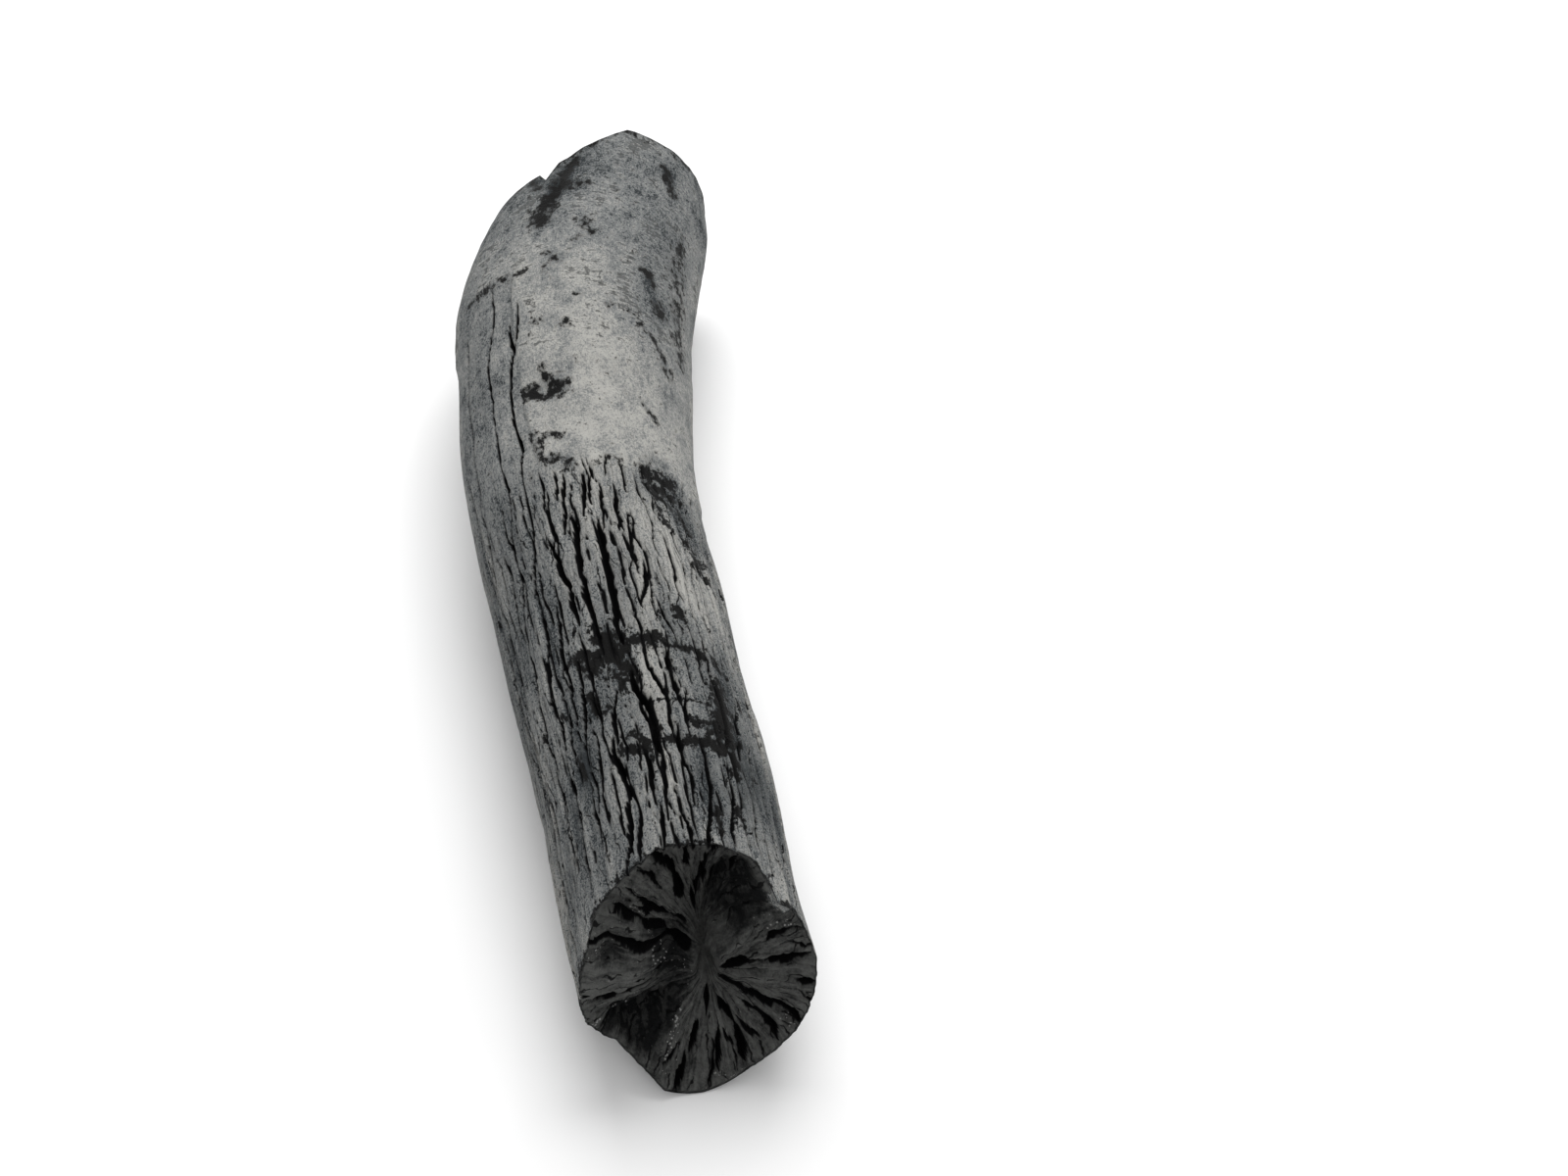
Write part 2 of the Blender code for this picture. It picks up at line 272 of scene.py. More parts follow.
@dataclass
class Cracks:
    """Every crack along the branch's side, and how the surface meets it."""

    placed: tuple[Crack, ...] = LONG_CRACKS
    skin_edge: tuple[Point, ...] = SKIN_EDGE
    hidden_lanes: tuple[float, float, float] = (66.0, 284.0, 9.0)
    hidden_gap: Point = (4.0, 22.0)
    hidden_run: Point = (12.0, 56.0)
    hidden_width: Point = (0.8, 1.7)
    hidden_stop: Point = (-8.0, 30.0)
    hidden_stray: float = 2.8
    bare_angle: float = 180.0
    bare_spread: float = 9.0
    seed: int = 7
    link_seed: int = 11
    link_lanes: tuple[float, float, float] = (-84.0, 64.0, 6.6)
    link_span: Point = (16.0, 122.0)
    link_gap: Point = (0.5, 7.0)
    link_run: Point = (14.0, 62.0)
    link_width: Point = (0.34, 0.70)
    depth_ratio: float = 2.4
    most_depth: float = 4.4
    slim: Point = (0.32, 0.54)
    swell: Point = (0.60, 1.30)
    swell_step: float = 3.4
    overrun: float = 2.5
    fade: float = 6.0
    sway: Point = (23.0, 0.7)
    zigzag: Point = (4.5, 1.3)
    jitter: Point = (1.7, 0.32)
    turns: int = 160
    pinch_spread: float = 4.4
    pinch_share: float = 0.66
    lip_reach: float = 1.3

    def __post_init__(self) -> None:
        """Lists all the cracks."""
        self.all = self.placed + self.hidden() + self.links()

    def hidden(self) -> tuple[Crack, ...]:
        """Cracks on the sides that the placed ones leave out.

        Returns:
            The cracks, in lanes round the branch.
        """
        draw = np.random.default_rng(self.seed)
        cracks = []
        for lane in np.arange(*self.hidden_lanes):
            last = round_branch(self.skin_edge, lane) - draw.uniform(*self.hidden_stop)
            station = draw.uniform(*self.hidden_gap)
            while station < last - self.hidden_run[0]:
                end = min(station + draw.uniform(*self.hidden_run), last)
                angles = lane + draw.uniform(-self.hidden_stray, self.hidden_stray, 2)
                width = draw.uniform(*self.hidden_width)
                if abs(lane - self.bare_angle) > self.bare_spread:
                    cracks.append(Crack(width, ((station, angles[1]), (end, angles[0]))))
                station = end + draw.uniform(*self.hidden_gap)
        return tuple(cracks)

    def links(self) -> tuple[Crack, ...]:
        """Thin cracks between the placed ones, in lanes of their own.

        Returns:
            The cracks.
        """
        draw = np.random.default_rng(self.link_seed)
        cracks = []
        for lane in np.arange(*self.link_lanes):
            station = self.link_span[0] + draw.uniform(*self.link_gap)
            while station < self.link_span[1]:
                end = min(station + draw.uniform(*self.link_run), self.link_span[1])
                angles = lane + draw.uniform(-1.8, 1.8, 2)
                width = draw.uniform(*self.link_width)
                cracks.append(Crack(width, ((station, angles[0]), (end + 0.1, angles[1]))))
                station = end + draw.uniform(*self.link_gap)
        return tuple(cracks)

    def stray(self, station: Array, index: int) -> Array:
        """How far a crack strays from its path, in degrees.

        Args:
            station: where along the branch.
            index: the crack's place in the list.

        Returns:
            The stray at each station.
        """
        wavelength, swing = self.sway
        away = swing * np.sin(2 * math.pi * station / wavelength + 2.4 * index)
        draw = np.random.default_rng(index)
        for step, reach in (self.zigzag, self.jitter):
            turns = draw.uniform(-reach, reach, self.turns)
            away = away + np.interp(station / step, np.arange(self.turns), turns)
        return away

    def traces(self, cracks: tuple[Crack, ...], station: Array) -> list[Trace]:
        """Where each crack is, and how wide.

        Args:
            cracks: the cracks to follow.
            station: where along the branch each point is.

        Returns:
            Each crack's trace.
        """
        found = []
        for index, crack in enumerate(cracks):
            stations = [s for s, _ in crack.points]
            angles = [a for _, a in crack.points]
            low = stations[0] - self.overrun
            high = stations[-1] + self.overrun
            where = np.flatnonzero((station > low) & (station < high))
            at = station[where]
            angle = np.interp(at, stations, angles) + self.stray(at, index)
            inside = np.minimum(at - low, high - at) / self.fade
            draw = np.random.default_rng(1000 + index)
            swells = draw.uniform(*self.swell, self.turns)
            swell = np.interp(at / self.swell_step, np.arange(self.turns), swells)
            crisp = min(crack.width, self.slim[0] + self.slim[1] * crack.width)
            width = crisp * swell * np.clip(inside, 0.0, 1.0) ** 0.6
            found.append(Trace(where, angle, width))
        return found

    def pinch(self, angle: Array, traces: list[Trace]) -> Array:
        """Draws the mesh's columns towards the open cracks, so that each groove is crisp.

        Args:
            angle: the columns' angles.
            traces: the cracks there.

        Returns:
            The columns' new angles, in the same order round the branch.
        """
        pull = np.zeros_like(angle)
        weight = np.zeros_like(angle)
        for trace in traces:
            off = turn(angle[trace.where] - trace.angle)
            near = bump(off, self.pinch_spread) * np.clip(trace.width, 0.0, 1.0)
            pull[trace.where] += near * off
            weight[trace.where] += near
        return angle - self.pinch_share * pull / np.maximum(weight, 1.0)

    def depth(self, angle: Array, radius: Array, traces: list[Trace]) -> Array:
        """How deep the deepest crack is at each point.

        Args:
            angle: where round the branch.
            radius: how far from its middle.
            traces: the cracks there.

        Returns:
            The depth at each point.
        """
        deepest = np.zeros_like(angle)
        for trace in traces:
            off = np.abs(np.radians(turn(angle[trace.where] - trace.angle)))
            off = off * radius[trace.where] / (0.5 * trace.width + 1e-6)
            full = np.minimum(self.depth_ratio * trace.width, self.most_depth)
            groove = full * np.clip(1.0 - off, 0.0, 1.0) ** 0.7
            deepest[trace.where] = np.maximum(deepest[trace.where], groove)
        return deepest

    def lip(self, angle: Array, radius: Array, traces: list[Trace]) -> Array:
        """How close each point is to the lip of an open crack.

        Args:
            angle: where round the branch.
            radius: how far from its middle.
            traces: the cracks there.

        Returns:
            1 at a crack's edge, falling to 0 where its lip ends.
        """
        close = np.zeros_like(angle)
        for trace in traces:
            off = np.abs(np.radians(turn(angle[trace.where] - trace.angle)))
            off = off * radius[trace.where] - 0.5 * trace.width
            near = np.clip(1.0 - off / self.lip_reach, 0.0, 1.0)
            near = near * np.clip(trace.width, 0.0, 1.0)
            close[trace.where] = np.maximum(close[trace.where], near)
        return close


@dataclass
class Branch:
    """The branch's form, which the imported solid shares."""

    station_step: float = 38.5
    bow: tuple[float, ...] = (16.5, 10.1, 2.5, -5.4, -11.1, -11.7, -7.9)
    girth: tuple[float, ...] = (21.8, 22.1, 22.6, 22.8, 23.7, 24.1, 22.6)
    box_middle: Point = (0.3, 115.6)
    rest_spots: tuple[Point, ...] = ((26.0, 0.75), (128.0, 0.75), (204.0, 0.75))
    rest_spot_reach: float = 17.0
    clearance: float = 0.3
    near_rim: tuple[Point, ...] = (
        (-180, -1.2), (-160, -1.2), (-145, 2.4), (-132, 6.5), (-110, 5.5), (-85, 5.5),
        (-68, 7.5), (-60, 8.2), (-55, 11.4), (-50, 12.8), (-35, 14.6), (-28, 16.2),
        (-10, 19.0), (13, 18.4), (26, 18.0), (36, 16.5), (42, 12.5), (46, 8.8),
        (54, 9.0), (60, 11.0), (68, 9.0), (90, 5.0), (135, 1.5),
    )  # fmt: skip
    far_rim: tuple[Point, ...] = (
        (-180, 220.0), (-150, 214.0), (-120, 209.5), (-90, 209.0), (-60, 213.0),
        (-30, 218.5), (-25, 215.5), (-20, 221.5), (-8, 226.0), (5, 230.5), (15, 234.0),
        (60, 234.5), (90, 233.5), (130, 230.0), (155, 225.0),
    )  # fmt: skip
    far_wear: Point = (1.2, 7.0)
    near_pith: Point = (2.5, 0.6)
    far_pith: Point = (-1.8, 1.4)
    skin_edge: tuple[Point, ...] = SKIN_EDGE
    skin_thickness: float = 0.5
    pits: tuple[tuple[float, float, float, float, float], ...] = (
        (144.0, -15.5, 2.6, 3.4, 1.6),
        (118.5, 36.0, 4.6, 3.6, 1.5),
        (209.0, -15.0, 13.0, 1.8, 1.2),
        (66.5, -14.0, 4.5, 3.6, 0.7),
        (172.0, 128.0, 4.0, 5.0, 1.6),
        (70.0, -140.0, 5.0, 4.0, 1.5),
        (2.0, -140.0, 9.0, 8.0, 2.8),
        (2.0, 148.0, 8.0, 8.0, 1.2),
    )
    resting_angle: float = 180.0

    def along(self, values: tuple[float, ...], station: Array) -> Array:
        """A Catmull-Rom curve through values that stand every station_step.

        Args:
            values: the values at even stations.
            station: where to read the curve.

        Returns:
            The curve's value at each station.
        """
        knots = np.array([2 * values[0] - values[1], *values, 2 * values[-1] - values[-2]])
        place = np.asarray(station, float) / self.station_step
        first = np.clip(np.floor(place).astype(int), 0, len(values) - 2)
        f = place - first
        a, b, c, d = (knots[first + k] for k in range(4))
        cubic = 2 * a - 5 * b + 4 * c - d + f * (3 * (b - c) + d - a)
        return b + 0.5 * f * (c - a + f * cubic)

    def skin_share(self, station: Array, angle: Array) -> Array:
        """Where the smooth skin of ash covers the wood.

        Args:
            station: where along the branch.
            angle: where round it.

        Returns:
            1 on the skin and 0 on bare wood.
        """
        edge = round_branch(self.skin_edge, angle)
        return smooth_step(station, edge - 1.5, edge + 1.5)

    def radius(self, station: Array, angle: Array) -> Array:
        """The radius without cracks.

        Args:
            station: where along the branch.
            angle: where round it.

        Returns:
            The distance from the branch's middle.
        """
        turned = np.radians(angle)
        lobes = 0.014 * np.cos(2 * turned - 0.8 + station / 70.0)
        lobes = lobes + 0.008 * np.cos(3 * turned + 1.3 - station / 45.0)
        ripple = 0.25 * np.sin(station / 8.5 + 2.0 * np.sin(turned + 0.7))
        radius = self.along(self.girth, station) * (1.0 + lobes) + ripple
        radius = radius + self.skin_thickness * (self.skin_share(station, angle) - 0.5)
        worn, reach = self.far_wear
        radius = radius - worn * bump(round_branch(self.far_rim, angle) - station, reach)
        for pit, pit_angle, half_length, half_width, depth in self.pits:
            off = np.radians(turn(angle - pit_angle)) * radius
            radius = radius - depth * bump(station - pit, half_length) * bump(off, half_width)
        return radius

    def middle_height(self, station: Array) -> Array:
        """The height of the branch's middle, which dips at the rest spots.

        Args:
            station: where along the branch.

        Returns:
            The height at each station.
        """
        height = self.radius(station, np.full_like(station, self.resting_angle))
        height = height + self.clearance
        for spot, worn in self.rest_spots:
            height = height - worn * bump(station - spot, self.rest_spot_reach)
        return height

    def place(self, station: Array, across: Array, up: Array) -> Array:
        """Points of the part from their place on the branch.

        Args:
            station: where along the branch.
            across: how far from its middle to the side.
            up: how far above its middle.

        Returns:
            The points, in millimetres in the part's frame.
        """
        slope = self.along(self.bow, station + 0.5) - self.along(self.bow, station - 0.5)
        norm = np.sqrt(1.0 + slope**2)
        x = self.along(self.bow, station) + across / norm - self.box_middle[0]
        y = station - across * slope / norm - self.box_middle[1]
        z = np.maximum(self.middle_height(station) + up, 0.0)
        return np.stack([x, y, z], axis=-1)


PAST_RIM = 1.05
CHECK_STRAY = 4.0


class End(Enum):
    """The two broken ends, by the way into the wood."""

    NEAR = 1.0
    FAR = -1.0


@dataclass(frozen=True)
class Scoop:
    """A hollow in a broken end."""

    angle: float
    reach: float
    angle_spread: float
    reach_spread: float
    depth: float


@dataclass(frozen=True)
class Check:
    """A radial check in a broken end."""

    angle: float
    start: float
    end: float
    width: float


@dataclass
class BrokenEnd:
    """One broken end: its levels, hollows and radial checks."""

    end: End
    rim: tuple[Point, ...]
    pith: Point
    scoops: tuple[Scoop, ...]
    checks: tuple[Check, ...]
    fade: float = 0.12
    upper_level: tuple[Point, ...] = (
        (-75, 12.0), (-55, 13.4), (-35, 17.0), (-15, 19.4), (30, 20.0), (60, 17.5),
    )  # fmt: skip
    lower_level: float = 8.1
    shelf: Point = (-68.0, 9.0)
    wall: Point = (52.0, 5.0)
    hood: float = 0.8
    far_level: float = 224.0
    plate_seed: int = 5
    plate_rise: float = 0.8
    plate_ridge: float = 0.35
    pith_reach: float = 0.12
    far_dishing: float = 1.6
    scoop_end: Point = (0.85, 1.0)
    chalk: tuple[tuple[float, float, float, float, float], ...] = ()

    def upper(self, angle: Array) -> Array:
        """Where the near end's upper level is.

        Args:
            angle: where round the pith.

        Returns:
            1 on the upper level and 0 on the lower one.
        """
        return ramp(angle, self.shelf) - ramp(angle, self.wall)

    def scooped(self, reach: Array, angle: Array) -> Array:
        """How deep the scoops are.

        Args:
            reach: how far from the pith to the rim.
            angle: where round the pith.

        Returns:
            The depth at each point.
        """
        depth = np.zeros_like(angle)
        for scoop in self.scoops:
            across = bump(turn(angle - scoop.angle), scoop.angle_spread)
            depth = depth + scoop.depth * across * bump(reach - scoop.reach, scoop.reach_spread)
        return depth * (1.0 - smooth_step(reach, *self.scoop_end))

    def station(self, reach: Array, angle: Array) -> Array:
        """The station of the broken face, without its checks.

        Args:
            reach: how far from the pith to the rim.
            angle: where round the pith.

        Returns:
            The station at each point.
        """
        rim = round_branch(self.rim, angle)
        if self.end is End.FAR:
            level = self.far_level + (rim - self.far_level) * reach**self.far_dishing
            return level - self.scooped(reach, angle)
        upper = self.upper(angle)
        top = round_branch(self.upper_level, angle)
        level = self.lower_level + (top - self.lower_level) * upper
        middle = 0.5 * (self.lower_level + round_branch(self.upper_level, 0.0))
        level = middle + (level - middle) * smooth_step(reach, 0.0, self.pith_reach)
        station = level + (rim - level) * reach
        station = station + self.hood * upper * np.sin(math.pi * reach)
        return station + self.scooped(reach, angle)

    def traces(self, reach: Array) -> list[Trace]:
        """Where each radial check is, and how wide.

        Args:
            reach: how far from the pith to the rim each point is.

        Returns:
            Each check's trace.
        """
        found = []
        for index, check in enumerate(self.checks):
            where = np.flatnonzero((reach > check.start) & (reach < check.end))
            at = reach[where]
            inside = np.minimum(at - check.start, check.end - at) / self.fade
            stray = 2.0 * np.sin(9.0 * at + index) + 0.5 * np.sin(31.0 * at + 2 * index)
            swell = 0.85 + 0.3 * np.sin(14.0 * at + 1.3 * index)
            width = check.width * swell * np.clip(inside, 0.0, 1.0) ** 0.6
            found.append(Trace(where, check.angle + stray, width))
        return found

    def chalked(self, reach: Array, angle: Array) -> Array:
        """Where white ash has settled, along short strokes.

        Args:
            reach: how far from the pith to the rim.
            angle: where round the pith.

        Returns:
            From 0 for none to 1 on a stroke.
        """
        settled = np.zeros_like(reach)
        for low, high, first, last, half_width in self.chalk:
            share = np.clip((reach - low) / (high - low), 0.0, 1.0)
            off = np.radians(turn(angle - first - share * (last - first))) * reach
            away = np.hypot(off, reach - low - share * (high - low))
            settled = np.maximum(settled, bump(away, half_width))
        return settled

    def plates(self, reach: Array, angle: Array) -> Array:
        """How far the plates between the checks stand out, each at its own height.

        Args:
            reach: how far from the pith to the rim.
            angle: where round the pith.

        Returns:
            The height of each point's plate.
        """
        draw = np.random.default_rng(self.plate_seed)
        edges = np.sort([check.angle for check in self.checks])
        heights = draw.uniform(-self.plate_rise, self.plate_rise, len(edges))
        leans = draw.uniform(-self.plate_rise, self.plate_rise, len(edges))
        stray = 2.0 * np.sin(9.0 * reach) + 0.9 * np.sin(31.0 * reach)
        at = turn(angle - stray)
        index = np.searchsorted(edges, at) % len(edges)
        low = edges[index - 1]
        span = (edges[index] - low) % 360.0
        share = ((at - low) % 360.0) / np.maximum(span, 1.0)
        height = heights[index] + leans[index] * (share - 0.5)
        ridge = self.plate_ridge * np.sin(math.pi * np.clip(share, 0.0, 1.0))
        return (height + ridge) * smooth_step(reach, 0.08, 0.35)


def near_end(branch: Branch) -> BrokenEnd:
    """The near end, broken in two levels.

    Args:
        branch: the branch that it closes.

    Returns:
        The end.
    """
    scoops = (
        Scoop(36.0, 0.58, 17.0, 0.30, 4.0),
        Scoop(-130.0, 0.66, 17.0, 0.36, 8.6),
        Scoop(-76.0, 0.26, 28.0, 0.15, 4.6),
        Scoop(-65.0, 0.80, 7.0, 0.11, 2.6),
    )
    checks = (
        (-37, 0.15, 0.95, 1.3), (-25, 0.60, 0.95, 1.3), (-13, 0.30, 1.05, 1.9),
        (0, 0.10, 0.40, 0.9), (2, 0.65, 1.05, 1.6), (13, 0.45, 1.05, 1.3),
        (24, 0.30, 0.85, 0.9), (-50, 0.30, 0.90, 0.9), (82, 0.10, 0.98, 2.2),
        (108, 0.80, 1.05, 0.9), (119, 0.10, 1.02, 1.5), (132, 0.45, 0.97, 1.5),
        (153, 0.25, 0.97, 1.7), (169, 0.45, 0.90, 1.0), (180, 0.12, 0.42, 1.2),
        (-172, 0.42, 0.75, 1.3), (-165, 0.65, 1.05, 1.4), (-94, 0.42, 0.97, 1.5),
        (-82, 0.30, 0.70, 0.9), (-61, 0.08, 1.02, 1.4), (-44, 0.45, 0.92, 0.7),
        (7, 0.25, 0.75, 0.7), (33, 0.45, 0.90, 0.7), (68, 0.55, 1.05, 1.0),
        (75, 0.70, 1.05, 0.8), (95, 0.80, 1.05, 0.9), (102, 0.88, 1.05, 0.7),
        (125, 0.80, 1.03, 0.8), (143, 0.45, 0.92, 0.8), (161, 0.50, 0.98, 0.7),
        (175, 0.55, 1.00, 0.8), (-158, 0.50, 0.90, 0.7), (-120, 0.80, 1.05, 1.0),
        (-108, 0.60, 1.02, 0.9),
    )  # fmt: skip
    chalk = (
        (0.42, 0.90, -151.0, -157.0, 0.028),
        (0.62, 0.98, -106.0, -112.0, 0.040),
        (0.80, 0.96, -60.0, -66.0, 0.050),
        (0.22, 0.40, -88.0, -66.0, 0.060),
        (0.55, 0.75, -42.0, -46.0, 0.060),
        (0.85, 1.00, 118.0, 126.0, 0.045),
        (0.70, 0.90, 60.0, 64.0, 0.050),
        (0.90, 1.00, 172.0, 160.0, 0.050),
    )
    made = tuple(Check(*row) for row in checks)
    return BrokenEnd(End.NEAR, branch.near_rim, branch.near_pith, scoops, made, chalk=chalk)


def ring_of_checks(
    draw: np.random.Generator,
    angles: Array,
    starts: Point,
    least_run: float,
    widths: Point,
) -> tuple[Check, ...]:
    """Radial checks all round an end.

    Args:
        draw: the seeded draw.
        angles: about where each one is.
        starts: the least and the greatest reach at which one starts.
        least_run: how much further it reaches at least.
        widths: the least and the greatest width.

    Returns:
        The checks.
    """
    made = []
    for angle in angles:
        start = draw.uniform(*starts)
        end = draw.uniform(start + least_run, PAST_RIM)
        stray = draw.uniform(-CHECK_STRAY, CHECK_STRAY)
        made.append(Check(angle + stray, start, end, draw.uniform(*widths)))
    return tuple(made)


def far_end(branch: Branch) -> BrokenEnd:
    """The far end, broken across plainly.

    Args:
        branch: the branch that it closes.

    Returns:
        The end.
    """
    scoops = (
        Scoop(-40.0, 0.55, 26.0, 0.34, 5.0),
        Scoop(150.0, 0.60, 30.0, 0.30, 4.0),
        Scoop(70.0, 0.30, 24.0, 0.18, 2.4),
    )
    draw = np.random.default_rng(8)
    wide = ring_of_checks(draw, np.arange(-180.0, 180.0, 15.0), (0.15, 0.5), 0.3, (0.9, 2.0))
    thin = ring_of_checks(draw, np.arange(-174.0, 180.0, 12.0), (0.3, 0.75), 0.2, (0.6, 1.0))
    checks = wide + thin
    return BrokenEnd(End.FAR, branch.far_rim, branch.far_pith, scoops, checks, plate_rise=1.1)


@dataclass(frozen=True)
class Mark:
    """A dark mark on the side, drawn as a stroke."""

    half_width: float
    strength: float
    points: tuple[Point, ...]


@dataclass(frozen=True)
class Tone:
    """A soft patch of the side where the ash is thicker or thinner."""

    station: float
    angle: float
    half_length: float
    half_width: float
    amount: float


def marks_of(rows: tuple[tuple, ...]) -> tuple[Mark, ...]:
    """Marks from rows.

    Args:
        rows: for each mark its half width, its strength, then its points.

    Returns:
        The marks.
    """
    return tuple(Mark(half, strength, tuple(points)) for half, strength, *points in rows)


MARKS = marks_of((
    (2.3, 1.0, (70, -28), (67, -22)),
    (3.0, 1.0, (73, -15), (68, -11), (63, -8)),
    (1.8, 1.0, (69.5, -9), (70, 4), (69.5, 11)),
    (1.3, 0.9, (69.5, 11), (68.5, 24), (67.5, 40)),
    (0.9, 0.7, (66, 38.5), (65.5, 49), (62, 53), (55.5, 49.5)),
    (2.0, 1.0, (60, 36.5), (53, 35), (49, 35.5), (46, 37)),
    (1.2, 0.8, (46, 37), (37, 34.5)),
    (1.5, 1.0, (49, 19), (48, 26), (47, 32)),
    (1.4, 1.0, (44.5, -7), (44.5, 8), (44, 22), (43.5, 33)),
    (0.9, 0.9, (79.5, 25), (76.5, 23)),
    (0.8, 0.9, (76, 27.5), (75, 28)),
    (0.6, 0.8, (78, 13), (75, 13)),
    (0.8, 0.8, (65, 12.5), (62, 13)),
    (1.0, 0.8, (28, 19.5), (22, 19.5)),
    (1.0, 0.8, (29, 31), (24, 32.5)),
    (0.4, 0.9, (54, -2.5), (54.5, 10), (54.5, 22), (53.5, 31)),
    (1.2, 0.8, (99, 57), (96, 46)),
    (1.0, 0.8, (73, -33), (71, -33)),
    (1.0, 0.8, (60, -26.5), (58, -27)),
    (0.9, 0.8, (60.5, -46), (60, -44)),
    (1.3, 0.9, (45, -18), (44, -14)),
    (1.4, 0.8, (47.5, -13), (48, -10)),
    (1.0, 0.8, (49, 0), (47, 1)),
    (0.8, 0.8, (60.5, -63), (60, -61)),
    (0.8, 0.8, (45, -42), (44, -41)),
    (0.7, 0.8, (49, -43), (47, -43)),
    (1.7, 1.0, (44, -9), (42.5, -5)),
    (1.4, 0.8, (57, -28), (55, -25)),
    (1.2, 0.7, (60, -12), (57, -9)),
    (2.1, 1.0, (144, -22), (142.5, -15), (144, -9)),
    (1.1, 0.8, (147, -14), (150, -15)),
    (0.9, 0.8, (133, -25), (129, -24), (125, -22), (124, -18)),
    (0.8, 0.8, (130, -21), (131, -15), (129.5, -11)),
    (1.0, 0.8, (124, -17), (123, -12), (121, -10)),
    (1.3, 0.8, (122, 10), (122, 12)),
    (1.0, 0.5, (121, 3), (121, 5)),
    (1.8, 1.0, (121, 30), (120.5, 46)),
    (2.4, 1.0, (118, 32), (117, 41)),
    (1.6, 1.0, (114.5, 32), (113, 35)),
    (0.7, 0.7, (113, 38), (104, 41)),
    (0.9, 0.7, (112, 45), (106, 48)),
    (1.3, 0.7, (110, 30), (104, 32)),
    (1.3, 0.8, (102, 44), (96, 50), (92, 56)),
    (1.7, 1.0, (222, -11), (210, -15), (196, -20)),
    (1.9, 0.8, (211, -10), (210, -4)),
    (1.1, 0.9, (216, -33), (211, -27)),
    (1.4, 0.8, (196, 4), (192, 8)),
    (0.8, 0.5, (190, 2), (188, 1)),
    (0.9, 0.7, (184, -13), (181, -7)),
    (0.7, 0.5, (180, -12), (177, -14)),
    (0.8, 0.8, (165, 35), (162, 44), (158, 52)),
    (1.5, 0.8, (157, 52), (156, 55)),
    (1.7, 0.9, (175, 47), (173, 49)),
    (1.3, 0.9, (184, 39), (182, 42)),
    (1.3, 0.9, (225, 40), (219, 47)),
    (0.7, 0.8, (141, 33), (137, 41)),
    (0.6, 0.6, (170, 2), (170.5, 9)),
    (0.8, 0.6, (168, 18), (168, 20)),
    (0.7, 0.7, (168, 29), (168, 36)),
    (1.3, 0.5, (163, -17), (163, -14)),
    (1.1, 0.5, (161, -6), (161, -3)),
    (2.2, 0.7, (205, 58), (180, 62), (165, 66)),
    (0.8, 0.8, (180, -62), (179, -45), (179, -24)),
))  # fmt: skip

# The patches near -60 degrees, at stations 35, 90, 140 and 205, make the left flank darker along
# its whole length.
TONES = (
    Tone(92.0, 41.0, 10.0, 5.5, 0.75),
    Tone(104.0, 26.0, 8.0, 5.0, 0.30),
    Tone(130.0, 6.0, 20.0, 14.0, 0.22),
    Tone(152.0, 18.0, 22.0, 12.0, 0.14),
    Tone(112.0, -2.0, 12.0, 12.0, 0.12),
    Tone(60.0, 44.0, 18.0, 7.0, -0.38),
    Tone(38.0, 52.0, 12.0, 8.0, -0.30),
    Tone(108.0, 44.0, 10.0, 6.0, -0.30),
    Tone(215.0, -14.0, 16.0, 8.0, -0.25),
    Tone(30.0, 40.0, 18.0, 9.0, -0.12),
    Tone(35.0, -60.0, 30.0, 14.0, -0.10),
    Tone(172.0, 42.0, 16.0, 8.0, -0.42),
    Tone(200.0, 44.0, 14.0, 6.0, -0.25),
    Tone(205.0, -60.0, 24.0, 14.0, -0.16),
    Tone(24.0, 4.0, 5.0, 7.0, 0.10),
    Tone(12.0, 52.0, 6.0, 5.0, 0.35),
    Tone(60.0, -26.0, 6.0, 4.0, -0.22),
    Tone(46.0, -40.0, 6.0, 4.0, -0.22),
    Tone(76.0, 24.0, 6.0, 5.0, -0.16),
    Tone(78.0, 44.0, 9.0, 5.0, 0.30),
    Tone(30.0, 24.0, 8.0, 5.0, -0.16),
    Tone(62.0, 5.0, 5.0, 4.0, 0.16),
    Tone(32.0, -12.0, 8.0, 4.0, 0.14),
    Tone(140.0, -64.0, 46.0, 12.0, -0.20),
    Tone(90.0, -66.0, 20.0, 10.0, -0.14),
    Tone(66.0, 56.0, 12.0, 5.0, 0.24),
    Tone(52.0, 62.0, 7.0, 5.0, 0.24),
)


